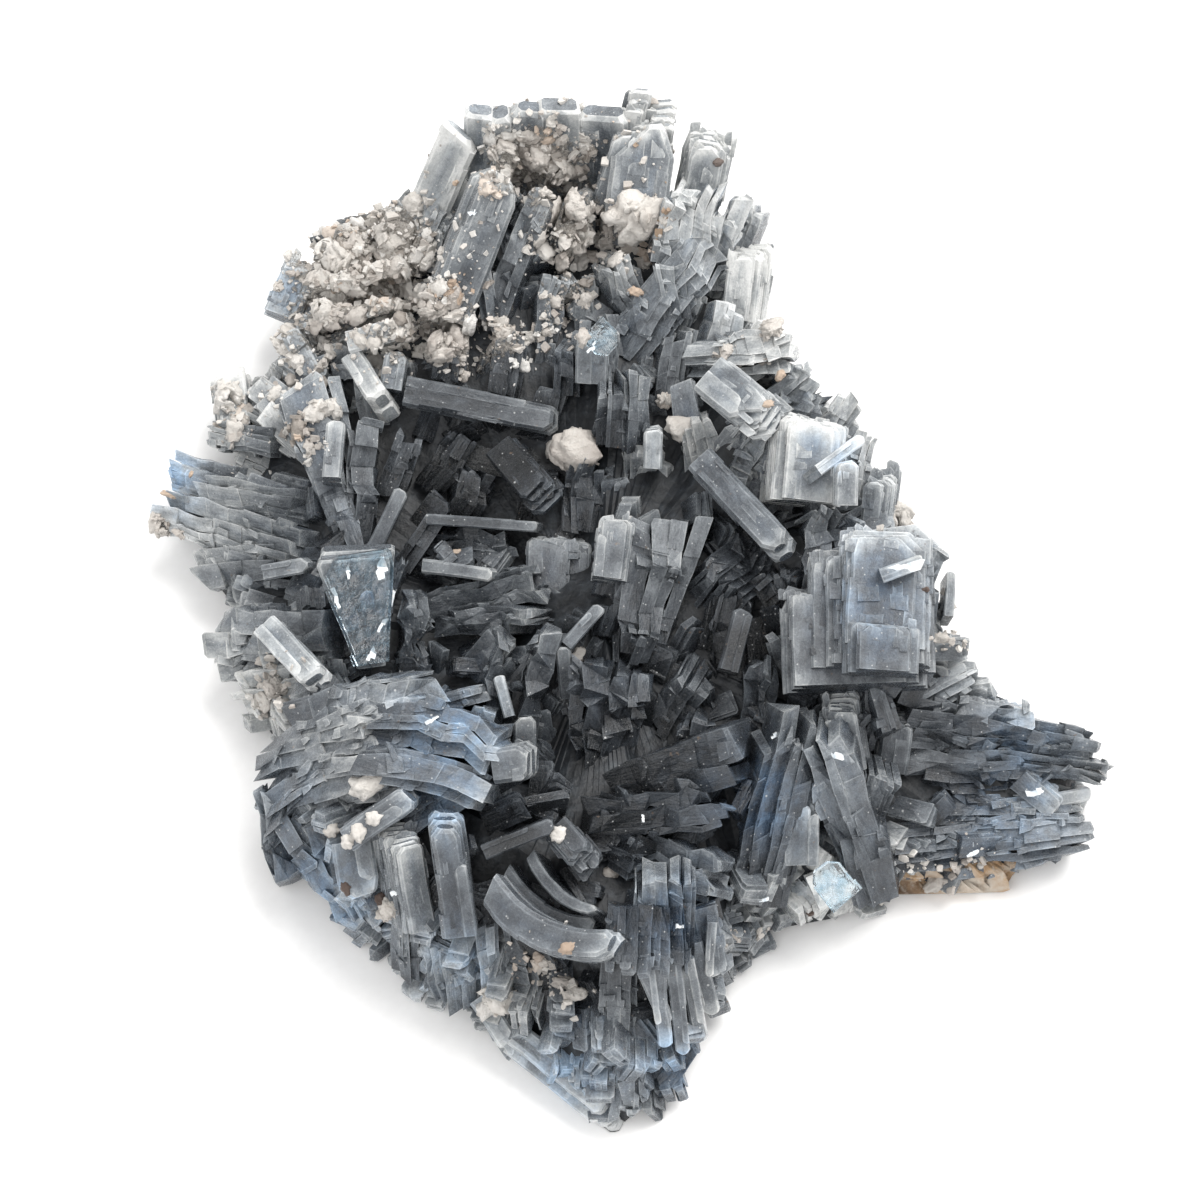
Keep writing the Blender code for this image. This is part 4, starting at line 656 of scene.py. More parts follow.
def tint_of(across, up, chance):
    """Lightness of a crystal that stands at across, up (its own tone with painted light and painted shade from the
    table), how much bluer it is than others, and how striated.
    """
    light = 0.45 + field(TONE_AND_PAINTED_LIGHT, across, up) + chance.uniform(-0.05, 0.05)
    return min(max(light, 0.14), 0.84), chance.uniform(-0.10, 0.08), 1.0


def edge_rows(chance, length, width, depth, fine=1.0, bend=0.0, parts=1):
    """Plates side by side with their edges to the view: highest and longest in the middle."""
    rows = []
    side = -0.5 * width
    parts = 6 if bend else parts
    while side < 0.5 * width - 0.15:
        thick = min(chance.uniform(0.4, 1.5) * fine, 0.5 * width - side)
        bow = (2.0 * (side + 0.5 * thick) / width) ** 2
        reach = length * (1.0 - 0.11 * bow) - chance.uniform(0.0, 0.5)
        if chance.random() < 0.18:
            reach -= length * chance.uniform(0.05, 0.2)
        top = -depth * 0.20 * bow - 0.22 * chance.random()
        shade = chance.gauss(0, 0.015)
        lean = chance.gauss(0, 0.006)
        for part in range(parts):
            first = -0.15 * depth if part == 0 else reach * (part / parts - 0.02)
            last = reach * ((part + 1) / parts + 0.004)
            final = part == parts - 1
            rows.append((first, last, 0.5 * (top - depth), 0.5 * (top + depth), -side - thick * 1.04, -side,
                         0.1, chance.uniform(0.05, 0.5) if final else 0.01,
                         chance.uniform(-0.12, 0.16) if final else 0.0, lean, 0.0, shade,
                         chance.uniform(0.0, 0.55) if final else 0.0))
        for _ in range(max(1, round(length / 5.0))):
            span = min(length * chance.uniform(0.08, 0.32) / parts ** 0.5, 4.0)
            begin = chance.uniform(0.0, max(reach - span * 0.9, 0.1))
            thin = thick * chance.uniform(0.4, 1.2)
            near = -side - chance.uniform(-0.3, 0.8) * thick
            rise = min(top + chance.uniform(0.02, 0.22), 0.3)
            lift = chance.uniform(0.0, 0.05)
            rows.append((begin, begin + span, rise - 1.0 - lift * begin, 1.0, near - thin, near, 0.5,
                         chance.uniform(0.3, 1.0), chance.uniform(-0.3, 0.3), lean + chance.gauss(0, 0.02), lift,
                         shade + chance.gauss(0.01, 0.02), chance.uniform(0.3, 0.95)))
        side += thick
    return np.array(rows)


def sheets(chance, length, width, depth, plates):
    """Plates one over another with their faces to the view: half width, slide, reach, top and depth of each."""
    count = max(2, round(depth / 0.9)) if plates > 1 else max(1, round(depth / 2.5))
    drawn = 0.36 if plates > 1 else 0.08
    for number in range(count):
        left = (count - 1 - number) / count
        half = 0.5 * width * (1.0 - drawn * left * chance.uniform(0.7, 1.2))
        slide = (0.5 * width - half) * chance.uniform(-0.8, 0.8)
        yield half, slide, length * (1.0 - 0.5 * drawn * left), -depth * number / count, depth / count + 0.15


def face_rows(chance, half, slide, reach, high, plates):
    """Small tablets along the ragged margin of one sheet and a few over it."""
    rows = []
    for _ in range(round((reach + 2.0 * half) / 2.0) if plates > 1 else 0):
        long = chance.uniform(1.0, 3.2)
        wide = chance.uniform(0.3, 1.1)
        if chance.random() < 0.45:
            begin = reach - long + chance.uniform(-0.6, 0.25)
            side = chance.uniform(-0.9, 0.9) * half + slide
        else:
            begin = chance.uniform(0.1, 0.85) * reach
            side = slide + chance.choice((-1, 1)) * (half - wide + chance.uniform(-0.5, 0.25))
        level = high + chance.uniform(-0.5, 0.10)
        rows.append((begin, begin + long, side, wide, level - chance.uniform(0.3, 0.7), level,
                     chance.uniform(0.1, 0.8), chance.uniform(0.1, 0.8), chance.uniform(-0.4, 0.4),
                     0.0, 0.0, chance.gauss(0.02, 0.04), chance.uniform(0.2, 0.8)))
    for _ in range(round(reach * half / 9.0) + 1):
        long = reach * chance.uniform(0.08, 0.35)
        wide = half * chance.uniform(0.08, 0.35)
        begin = chance.uniform(0.0, reach * 0.94 - long)
        side = slide + chance.uniform(-1, 1) * (half - wide) * 0.9
        rows.append((begin, begin + long, side, wide, high - 0.8, high + chance.uniform(0.02, 0.12),
                     chance.uniform(0.1, 0.9), chance.uniform(0.1, 0.9), chance.uniform(-0.4, 0.4), 0.0, 0.0,
                     chance.gauss(0.0, 0.02), chance.uniform(0.3, 0.9)))
    return np.array(rows)


def dress_crystal(blades, whole, foot, tip, width, depth, plates, options):
    """All plates of one crystal of the table: bundles as thin plates, whole crystals and sheets as bars."""
    chance = random.Random(str(foot) + "look")
    start, end = place(*foot), place(*tip)
    length = (end - start).length
    turned = crystal_frame(start, end, options.get("roll", 0.0))
    tint = tint_of(0.5 * (foot[0] + tip[0]), 0.5 * (foot[1] + tip[1]), chance)
    flare = options.get("flare", 1.0)
    bend = options.get("bend", 0.0)
    if options.get("lay", "edge") == "edge" and plates > 1:
        rows = edge_rows(chance, length, width, depth, 1.7 if length > 9 else 1.2, bend, 6 if length > 9 else 3)
        saw = chance.choice((-1, 1)) * chance.uniform(0.3, 0.7)
        blades.add(turned, rows, True, length, depth, flare, bend, 1.0 if length > 9 else 0.6, tint, saw=saw)
        return
    smooth = (tint[0], tint[1], 0.0)
    corner = options.get("corner", 0.0)
    lean = chance.choice((-1, 1))
    if options.get("lay", "edge") == "face":
        for half, slide, reach, high, thick in sheets(chance, length, width, depth, plates):
            cuts = [(corner or 0.2 * half) * share for share in (chance.uniform(0.1, 0.5), chance.uniform(0.5, 1.3))]
            cuts = cuts[::lean]
            sheet = (smooth[0] + chance.gauss(0, 0.02), smooth[1], 0.0)
            whole.add(turned, reach, 2.0 * half, high - thick, high, flare, cuts, bend, slide, tint=sheet,
                      slant=options.get("slant", lean * chance.uniform(0.0, 0.25)))
            if not bend:
                blades.add(turned, face_rows(chance, half, slide, reach, high, plates), False, length, depth, flare,
                           0.0, 0.10, tint)
    else:
        cuts = [(corner or chance.uniform(0.1, 0.5) * 0.5 * width) for _ in range(2)]
        whole.add(turned, length, width, -depth, 0.0, flare, cuts, bend, tint=smooth, slant=chance.uniform(-0.2, 0.2))
    if not bend and width < 7.0 and chance.random() < 0.6:
        thin = width * chance.uniform(0.3, 0.6)
        side = chance.choice((-1, 1))
        whole.add(turned, length * chance.uniform(0.6, 0.96), thin, -0.7 * depth, chance.uniform(0.06, 0.18), 1.0,
                  (0.08 * thin, 0.2 * thin)[::side], 0.0, side * (0.47 * width - 0.5 * thin),
                  tint=(smooth[0] + chance.gauss(0.0, 0.02), smooth[1], 0.0), warp=0.08, slant=0.5 * side)


def height_samples():
    """World points along every crystal, which the bed under them follows."""
    samples = []
    for foot, tip, *_ in CRYSTALS:
        start, end = place(*foot), place(*tip)
        samples += [start, start.lerp(end, 0.5), end]
    return samples


def bed_height(samples, x, y):
    """Height of the crystal bed at world x, y: that of the crystals near there, less a drop."""
    spots = samples
    weights = ((spots[:, 0] - x) ** 2 + (spots[:, 1] - y) ** 2 + 6.0) ** -1.6
    return max(float((weights * spots[:, 2]).sum() / weights.sum()) - BED_DROP, BED_LOWEST)


def nearest_axes(x, y, z, starts, ends, count=3):
    """Mean direction of the crystals nearest to a world point."""
    middles = 0.5 * (starts + ends)
    gap = np.linalg.norm(middles - np.array((x, y, z)), axis=1)
    order = np.argsort(gap)[:count]
    axes = ends[order] - starts[order]
    axes /= np.linalg.norm(axes, axis=1)[:, None]
    return Vector(axes.mean(axis=0)).normalized()


def scatter_small(blades, samples):
    """Small bundles of plates in every gap of the bed, leaning the way their neighbours do."""
    chance = random.Random(5)
    starts = np.array([place(*row[0]) for row in CRYSTALS])
    ends = np.array([place(*row[1]) for row in CRYSTALS])
    centre = Vector(BED_CENTRE)
    made = 0
    while made < 620:
        k = chance.randrange(len(BED_OUTLINE))
        a = Vector(BED_OUTLINE[k])
        b = Vector(BED_OUTLINE[(k + 1) % len(BED_OUTLINE)])
        spot = centre.lerp(a.lerp(b, chance.random()), math.sqrt(chance.random()) * 0.97)
        height = bed_height(samples, spot.x, spot.y) + chance.uniform(-1.5, 2.2)
        axis = nearest_axes(spot.x, spot.y, height, starts, ends)
        axis = (axis + Vector([chance.gauss(0, 0.32) for _ in range(3)])).normalized()
        length = chance.uniform(3.0, 7.5)
        foot = Vector((spot.x, spot.y, height)) - axis * length * 0.6
        tip = foot + axis * length
        if tip.z < 1.0:
            continue
        turned = crystal_frame(foot, tip, chance.uniform(-90, 90))
        across, up = seen_at(tip)
        light, blue, warm = tint_of(across, up, chance)
        depth = chance.uniform(2.0, 4.0)
        rows = edge_rows(chance, length, chance.uniform(1.0, 3.0), depth, 0.8)
        blades.add(turned, rows, True, length, depth, chance.uniform(0.9, 1.4), tint=(light - 0.05, blue, warm))
        made += 1


def flank_small(blades, samples):
    """Bundles that point outwards all round the flanks, as low as the floor."""
    chance = random.Random(9)
    centre = Vector(BED_CENTRE)
    for k in range(len(BED_OUTLINE)):
        a = Vector(BED_OUTLINE[k])
        b = Vector(BED_OUTLINE[(k + 1) % len(BED_OUTLINE)])
        count = max(1, round((b - a).length / 2.5))
        for part in range(count):
            edge = a.lerp(b, part / count)
            inside = centre.lerp(edge, 0.84)
            crown = bed_height(samples, inside.x, inside.y)
            level = 1.5
            while level < crown * 0.86:
                out = 1.0 + (1.9 - 3.6 * level / crown) / (edge - centre).length
                foot = Vector((inside.x, inside.y, level))
                reach = centre.lerp(edge, out)
                tip = Vector((reach.x + chance.uniform(-1.6, 1.6), reach.y + chance.uniform(-1.6, 1.6),
                              level + chance.uniform(-0.4, 2.8)))
                length = (tip - foot).length
                turned = crystal_frame(foot, tip, chance.uniform(-90, 90))
                across, up = seen_at(tip)
                depth = chance.uniform(2.0, 3.6)
                rows = edge_rows(chance, length, chance.uniform(1.6, 3.6), depth)
                light, blue, warm = tint_of(across, up, chance)
                blades.add(turned, rows, True, length, depth, chance.uniform(0.9, 1.3), tint=(light, blue, warm))
                level += chance.uniform(2.0, 3.2)


def loft_mesh(name, outline, rings, top_of, bottom, sides=4, rough=0.0):
    """A lump over an outline: rings that shrink towards the centre, with a flat underside."""
    centre = Vector(BED_CENTRE)
    fine = []
    for k in range(len(outline)):
        a = Vector(outline[k])
        b = Vector(outline[(k + 1) % len(outline)])
        fine += [a.lerp(b, part / sides) for part in range(sides)]
    points = [(spot.x, spot.y, bottom) for spot in fine]
    for share, rise in rings:
        for edge in fine:
            broken = rough * noise.turbulence(Vector((edge.x, edge.y, 9.0 * rise)) * 0.45, 5, False)
            spot = centre.lerp(edge, share - broken / (edge - centre).length)
            points.append((spot.x, spot.y, bottom + (top_of(spot.x, spot.y) - bottom) * rise - 0.4 * broken))
    count = len(fine)
    faces = []
    for level in range(len(rings)):
        for k in range(count):
            after = (k + 1) % count
            faces.append((level * count + k, level * count + after,
                          (level + 1) * count + after, (level + 1) * count + k))
    top_ring = len(rings) * count
    points.append((centre.x, centre.y, top_of(centre.x, centre.y)))
    peak = len(points) - 1
    mesh = bpy.data.meshes.new(name)
    faces += [(top_ring + k, top_ring + (k + 1) % count, peak) for k in range(count)]
    faces.append(tuple(reversed(range(count))))
    mesh.from_pydata([tuple(MM * value for value in point) for point in points], [], faces)
    made = bpy.data.objects.new(name, mesh)
    bpy.context.scene.collection.objects.link(made)
    return made


class Nodes:
    """Short ways to wire a material."""

    def __init__(self, name):
        self.material = bpy.data.materials.new(name)
        self.material.use_nodes = True
        self.tree = self.material.node_tree
        self.shader = self.tree.nodes["Principled BSDF"]

    def new(self, kind, **settings):
        node = self.tree.nodes.new(kind)
        for key, value in settings.items():
            setattr(node, key, value)
        return node

    def link(self, source, target):
        self.tree.links.new(source, target)

    def math(self, operation, first, second=None, clamp=False):
        node = self.new("ShaderNodeMath", operation=operation, use_clamp=clamp)
        for slot, value in enumerate((first, second)):
            if value is None:
                continue
            if isinstance(value, (int, float)):
                node.inputs[slot].default_value = value
            else:
                self.link(value, node.inputs[slot])
        return node.outputs[0]

    def ramp(self, value, stops):
        node = self.new("ShaderNodeValToRGB")
        ramp = node.color_ramp
        while len(ramp.elements) < len(stops):
            ramp.elements.new(0.5)
        for element, (spot, colour) in zip(ramp.elements, stops):
            element.position = spot
            element.color = (*colour, 1.0)
        self.link(value, node.inputs[0])
        return node.outputs[0]

    def span(self, value, low, high, new_low=0.0, new_high=1.0):
        node = self.new("ShaderNodeMapRange", interpolation_type="SMOOTHSTEP")
        self.link(value, node.inputs["Value"])
        for key, number in (("From Min", low), ("From Max", high), ("To Min", new_low), ("To Max", new_high)):
            node.inputs[key].default_value = number
        return node.outputs["Result"]

    def noise(self, vector, scale, detail=3.0, rough=0.5):
        node = self.new("ShaderNodeTexNoise")
        node.inputs["Scale"].default_value = scale
        node.inputs["Detail"].default_value = detail
        node.inputs["Roughness"].default_value = rough
        self.link(vector, node.inputs["Vector"])
        return node.outputs["Fac"]

    def new_vector_noise(self, vector, scale, amount):
        """A small random push of a vector, for ragged cell walls."""
        node = self.new("ShaderNodeTexNoise")
        node.inputs["Scale"].default_value = scale
        node.inputs["Detail"].default_value = 2.0
        self.link(vector, node.inputs["Vector"])
        push = self.new("ShaderNodeVectorMath", operation="SCALE")
        push.inputs["Scale"].default_value = amount
        self.link(node.outputs["Color"], push.inputs[0])
        return push.outputs[0]

    def mix(self, amount, first, second, blend="MIX"):
        node = self.new("ShaderNodeMix", data_type="RGBA", blend_type=blend)
        for slot, value in ((0, amount), (6, first), (7, second)):
            if isinstance(value, (int, float)):
                node.inputs[slot].default_value = value
            elif isinstance(value, tuple):
                node.inputs[slot].default_value = (*value, 1.0)
            else:
                self.link(value, node.inputs[slot])
        return node.outputs[2]

    def attribute(self, name):
        return self.new("ShaderNodeAttribute", attribute_name=name)

    def stretched(self, vector, scales):
        node = self.new("ShaderNodeMapping")
        node.inputs["Scale"].default_value = scales
        self.link(vector, node.inputs["Vector"])
        return node.outputs["Vector"]


SLATE = [(0.0, (0.004, 0.005, 0.006)), (0.25, (0.018, 0.0205, 0.024)), (0.45, (0.060, 0.068, 0.078)),
         (0.65, (0.155, 0.170, 0.184)), (0.85, (0.37, 0.385, 0.39)), (1.0, (0.62, 0.625, 0.615))]


def barite_material():
    """Slate-blue crystal: frosted and cloudy, with growth steps and lines; painted highlights and a painted glow along
    each plate's edges, and a painted glow towards the ends of larger facets.
    """
    n = Nodes("barite")
    tint = n.new("ShaderNodeSeparateXYZ")
    n.link(n.attribute("tint").outputs["Vector"], tint.inputs[0])
    light, blue, striated = tint.outputs
    places = n.new("ShaderNodeSeparateXYZ")
    n.link(n.attribute("places").outputs["Vector"], places.inputs[0])
    here_blue, coat = places.outputs[:2]
    grain = n.attribute("grain").outputs["Vector"]
    facet = n.new("ShaderNodeSeparateXYZ")
    n.link(n.attribute("facet").outputs["Vector"], facet.inputs[0])
    size = n.new("ShaderNodeSeparateXYZ")
    n.link(n.attribute("facet_size").outputs["Vector"], size.inputs[0])
    gaps = []
    for spot, extent in ((facet.outputs[0], size.outputs[0]), (facet.outputs[1], size.outputs[1])):
        near = n.math("MULTIPLY", spot, extent)
        far = n.math("SUBTRACT", extent, near)
        gaps.append(n.math("MINIMUM", near, far))
    ragged = n.noise(grain, 1.7, 3.0, 0.6)
    short, long = n.math("MINIMUM", *gaps), n.math("MAXIMUM", *gaps)
    gap = n.math("ADD", short, n.math("MULTIPLY", ragged, 0.40))
    # Painted highlight: a lighter band along each facet's edges
    painted_edge_highlight = n.span(gap, 0.40, 0.18)
    # Painted glow of light through the crystal near its edges, stronger on pale crystals
    painted_edge_glow = n.span(gap, 2.8, 0.3, -0.25, 1.0)
    # Painted glow towards the ends of the larger facets
    ends = n.math("MULTIPLY", n.span(long, 3.2, 0.5), n.span(n.math("MAXIMUM", size.outputs[0], size.outputs[1]), 3.0, 8.0))
    cloud = n.noise(grain, 0.30, 4.0, 0.62)
    lines = n.noise(n.stretched(grain, (0.35, 1.6, 1.6)), 1.3, 4.0, 0.65)
    cells = n.new("ShaderNodeTexVoronoi", distance="CHEBYCHEV")
    cells.inputs["Scale"].default_value = 0.9
    cells.inputs["Randomness"].default_value = 0.9
    wander = n.new("ShaderNodeVectorMath", operation="ADD")
    n.link(n.stretched(grain, (0.5, 1.1, 1.1)), wander.inputs[0])
    n.link(n.new_vector_noise(grain, 1.4, 0.35), wander.inputs[1])
    n.link(wander.outputs[0], cells.inputs["Vector"])
    chip = n.new("ShaderNodeSeparateXYZ")
    n.link(cells.outputs["Color"], chip.inputs[0])
    frost = n.noise(grain, 3.4, 5.0, 0.75)
    growth = n.noise(n.stretched(grain, (0.5, 1.0, 1.0)), 0.42, 3.0, 0.5)
    ladder = n.math("MULTIPLY", growth, 26.0)
    step = n.math("FLOOR", ladder)
    # Painted highlight along the edges of the growth steps
    edge = n.span(n.math("FRACT", ladder), 0.10, 0.0)
    bundled = n.span(striated, 0.0, 0.6, 0.25, 1.0)
    value = n.math("ADD", light, n.math("MULTIPLY", n.math("SUBTRACT", cloud, 0.5), 0.50))
    value = n.math("ADD", value, n.math("MULTIPLY", n.math("SUBTRACT", chip.outputs[0], 0.5), 0.10))
    value = n.math("ADD", value, n.math("MULTIPLY", n.math("SUBTRACT", lines, 0.5), n.math("MULTIPLY", bundled, 0.20)))
    value = n.math("ADD", value, n.math("MULTIPLY", n.math("SUBTRACT", frost, 0.5), 0.20))
    # Painted highlights and painted glow along edges, ends and growth steps are added to the crystal's own tone
    value = n.math("ADD", value, n.math("MULTIPLY", painted_edge_highlight, 0.13))
    value = n.math("ADD", value, n.math("MULTIPLY", painted_edge_glow, n.math("MULTIPLY", light, 0.22)))
    value = n.math("ADD", value, n.math("MULTIPLY", ends, 0.12))
    value = n.math("ADD", value, n.math("MULTIPLY", edge, 0.05))
    specks = n.span(frost, 0.66, 0.72)
    value = n.math("ADD", value, n.math("MULTIPLY", specks, 0.16), clamp=True)
    base = n.ramp(value, SLATE)
    bluer = n.mix(1.0, base, (0.60, 0.95, 1.40), "MULTIPLY")
    heart = n.math("MULTIPLY", n.span(gap, 0.5, 2.4), 0.16)
    patchy = n.math("ADD", heart, n.math("ADD", blue, here_blue))
    patchy = n.math("MULTIPLY", patchy, n.span(cloud, 0.36, 0.64, 0.25, 1.2))
    base = n.mix(n.math("MULTIPLY", n.math("MINIMUM", patchy, 1.0), 0.85, clamp=True), base, bluer)
    rust = n.span(n.noise(grain, 0.9, 3.0, 0.6), 0.69, 0.76, 0.0, 0.65)
    base = n.mix(rust, base, (0.17, 0.12, 0.085))
    for scale, radius, share in ((1.5, 0.17, 0.72), (0.55, 0.10, 0.85)):
        dots = n.new("ShaderNodeTexVoronoi")
        dots.inputs["Scale"].default_value = scale
        n.link(grain, dots.inputs["Vector"])
        pick = n.new("ShaderNodeSeparateXYZ")
        n.link(dots.outputs["Color"], pick.inputs[0])
        near = n.span(dots.outputs["Distance"], radius, 0.6 * radius)
        dust = n.math("MULTIPLY", near, n.math("GREATER_THAN", pick.outputs[0], share))
        base = n.mix(n.math("MULTIPLY", dust, 0.75), base, (0.52, 0.53, 0.53))
    cover = n.math("ADD", n.math("MULTIPLY", coat, 0.62), n.math("MULTIPLY", n.noise(grain, 0.8, 4.0, 0.7), 0.9))
    cover = n.span(cover, 0.69, 0.84, 0.0, 0.92)
    base = n.mix(cover, base, n.ramp(frost, [(0.3, (0.22, 0.20, 0.175)), (0.5, (0.44, 0.405, 0.365)),
                                             (0.7, (0.64, 0.61, 0.57))]))
    n.link(base, n.shader.inputs["Base Color"])
    n.link(n.span(frost, 0.35, 0.75, 0.16, 0.42), n.shader.inputs["Roughness"])
    n.shader.inputs["IOR"].default_value = 1.64
    n.shader.inputs["Specular IOR Level"].default_value = 0.4
    height = n.math("ADD", n.math("MULTIPLY", step, 0.16), n.math("MULTIPLY", lines, n.math("MULTIPLY", bundled, 0.8)))
    height = n.math("ADD", height, n.math("MULTIPLY", chip.outputs[1], 0.6))
    height = n.math("ADD", height, n.math("MULTIPLY", frost, 0.35))
    height = n.math("ADD", height, n.math("MULTIPLY", cover, n.math("ADD", 0.6, n.math("MULTIPLY", frost, 2.5))))
    bump = n.new("ShaderNodeBump")
    bump.inputs["Strength"].default_value = 0.85
    bump.inputs["Distance"].default_value = 0.00030
    n.link(height, bump.inputs["Height"])
    n.link(bump.outputs[0], n.shader.inputs["Normal"])
    return n.material


def clear_material():
    """Glassy crystal that the dark mass under it shows through."""
    n = Nodes("clear_barite")
    grain = n.attribute("grain").outputs["Vector"]
    frost = n.noise(grain, 0.7, 3.0, 0.5)
    n.link(n.ramp(frost, [(0.40, (0.52, 0.70, 0.82)), (0.65, (0.88, 0.93, 0.96))]), n.shader.inputs["Base Color"])
    n.link(n.span(frost, 0.5, 0.75, 0.02, 0.12), n.shader.inputs["Roughness"])
    n.shader.inputs["Transmission Weight"].default_value = 1.0
    n.shader.inputs["IOR"].default_value = 1.64
    bump = n.new("ShaderNodeBump")
    bump.inputs["Strength"].default_value = 0.5
    bump.inputs["Distance"].default_value = 0.0005
    n.link(frost, bump.inputs["Height"])
    n.link(bump.outputs[0], n.shader.inputs["Normal"])
    return n.material


def glint_material():
    """Painted highlights: smooth cleavage facets coloured near-white where light glints off them."""
    n = Nodes("painted_glint_facets")
    grain = n.attribute("grain").outputs["Vector"]
    frost = n.noise(grain, 1.5, 3.0, 0.6)
    n.link(n.ramp(frost, [(0.35, (0.55, 0.62, 0.68)), (0.6, (0.86, 0.88, 0.88))]), n.shader.inputs["Base Color"])
    n.shader.inputs["Roughness"].default_value = 0.12
    n.shader.inputs["IOR"].default_value = 1.64
    return n.material


def bed_material():
    """The mass between the blades, coloured near-black as painted shade for the gaps between them."""
    n = Nodes("barite_mass_painted_shade")
    spot = n.new("ShaderNodeTexCoord").outputs["Object"]
    value = n.noise(spot, 420.0, 6.0, 0.65)
    # Painted shade: near-black, for the shade deep between the blades
    base = n.ramp(value, [(0.3, (0.004, 0.005, 0.006)), (0.55, (0.014, 0.017, 0.021)), (0.75, (0.05, 0.06, 0.07))])
    n.link(base, n.shader.inputs["Base Color"])
    n.shader.inputs["Roughness"].default_value = 0.5
    bump = n.new("ShaderNodeBump")
    bump.inputs["Strength"].default_value = 0.8
    bump.inputs["Distance"].default_value = 0.0006
    n.link(value, bump.inputs["Height"])
    n.link(bump.outputs[0], n.shader.inputs["Normal"])
    return n.material


def crust_material():
    """Pale drusy crust: off-white to tan grains, some stained orange or brown."""
    n = Nodes("druse")
    tint = n.new("ShaderNodeSeparateXYZ")
    n.link(n.attribute("tint").outputs["Vector"], tint.inputs[0])
    light, orange, brown = tint.outputs
    grain = n.attribute("grain").outputs["Vector"]
    fine = n.noise(grain, 2.2, 6.0, 0.65)
    spot = n.new("ShaderNodeTexCoord").outputs["Object"]
    wide = n.noise(spot, 190.0, 3.0, 0.5)
    value = n.math("ADD", light, n.math("MULTIPLY", n.math("SUBTRACT", fine, 0.5), 0.5))
    value = n.math("ADD", value, n.math("MULTIPLY", n.math("SUBTRACT", wide, 0.5), 0.7), clamp=True)
    base = n.ramp(value, [(0.0, (0.22, 0.195, 0.17)), (0.3, (0.44, 0.40, 0.365)), (0.6, (0.62, 0.59, 0.55)),
                          (1.0, (0.78, 0.765, 0.74))])
    base = n.mix(orange, base, (0.50, 0.31, 0.17))
    base = n.mix(brown, base, (0.055, 0.025, 0.015))
    n.link(base, n.shader.inputs["Base Color"])
    n.shader.inputs["Roughness"].default_value = 0.45
    n.shader.inputs["IOR"].default_value = 1.5
    bump = n.new("ShaderNodeBump")
    bump.inputs["Strength"].default_value = 0.9
    bump.inputs["Distance"].default_value = 0.0004
    n.link(fine, bump.inputs["Height"])
    n.link(bump.outputs[0], n.shader.inputs["Normal"])
    return n.material


def rock_material():
    """Tan matrix with rusty stains."""
    n = Nodes("matrix")
    spot = n.new("ShaderNodeTexCoord").outputs["Object"]
    fine = n.noise(spot, 900.0, 8.0, 0.7)
    wide = n.noise(spot, 120.0, 4.0, 0.6)
    base = n.ramp(wide, [(0.35, (0.16, 0.10, 0.06)), (0.5, (0.46, 0.30, 0.17)), (0.65, (0.60, 0.53, 0.45))])
    base = n.mix(n.span(fine, 0.45, 0.65, 0.0, 0.6), base, (0.62, 0.57, 0.50))
    n.link(base, n.shader.inputs["Base Color"])
    n.shader.inputs["Roughness"].default_value = 0.85
    bump = n.new("ShaderNodeBump")
    bump.inputs["Strength"].default_value = 0.9
    bump.inputs["Distance"].default_value = 0.0008
    n.link(fine, bump.inputs["Height"])
    n.link(bump.outputs[0], n.shader.inputs["Normal"])
    return n.material


def ball():
    """Corners and triangles of a small round ball."""
    mesh = bmesh.new()
    bmesh.ops.create_icosphere(mesh, subdivisions=3, radius=1.0)
    corners = [vert.co.copy() for vert in mesh.verts]
    faces = [[vert.index for vert in face.verts] for face in mesh.faces]
    mesh.free()
    return corners, faces


LUMP_POINTS, LUMP_FACES = ball()


def random_turn(chance, spot):
    """A frame at a point, turned at random."""
    turn = Matrix.Rotation(chance.uniform(0, math.tau), 4, "Z") @ Matrix.Rotation(chance.uniform(0, 3.1), 4, "X")
    return Matrix.Translation(spot) @ turn @ Matrix.Rotation(chance.uniform(0, math.tau), 4, "Z")


def add_grain(blades, chance, spot, size, tint, flat=0.35):
    """One small stubby tablet of the crust."""
    long = size * chance.uniform(0.8, 1.6)
    row = np.array([(-0.5 * long, 0.5 * long, 0.0, 0.5 * size, -0.5 * flat * size, 0.5 * flat * size,
                     chance.uniform(0.2, 0.9), chance.uniform(0.2, 0.9), chance.uniform(-0.3, 0.3), 0.0, 0.0, 0.0,
                     chance.uniform(0.2, 0.8))])
    blades.add(random_turn(chance, spot), row, False, long, size, warp=0.0, tint=tint, fade=0.0)


def add_lump(lumps, chance, spot, normal, radius, tint, axes=None, stretch=None):
    """One rough rounded lump of the crust, lying on a surface."""
    turn = axes or normal.to_track_quat("Z", "Y").to_matrix() @ Matrix.Rotation(chance.uniform(0, math.tau), 3, "Z")
    stretch = stretch or (chance.uniform(0.9, 1.7), chance.uniform(0.7, 1.2), chance.uniform(0.35, 0.6))
    shift = Vector([chance.uniform(0, 60) for _ in range(3)])
    for corner in LUMP_POINTS:
        swell = radius * (1.0 + 0.5 * noise.noise(corner * 1.6 + shift) + 0.3 * noise.noise(corner * 4.0 + shift))
        lumps[0].append(spot + turn @ Vector(a * b * swell for a, b in zip(corner, stretch)))
    lumps[1].append(tint)


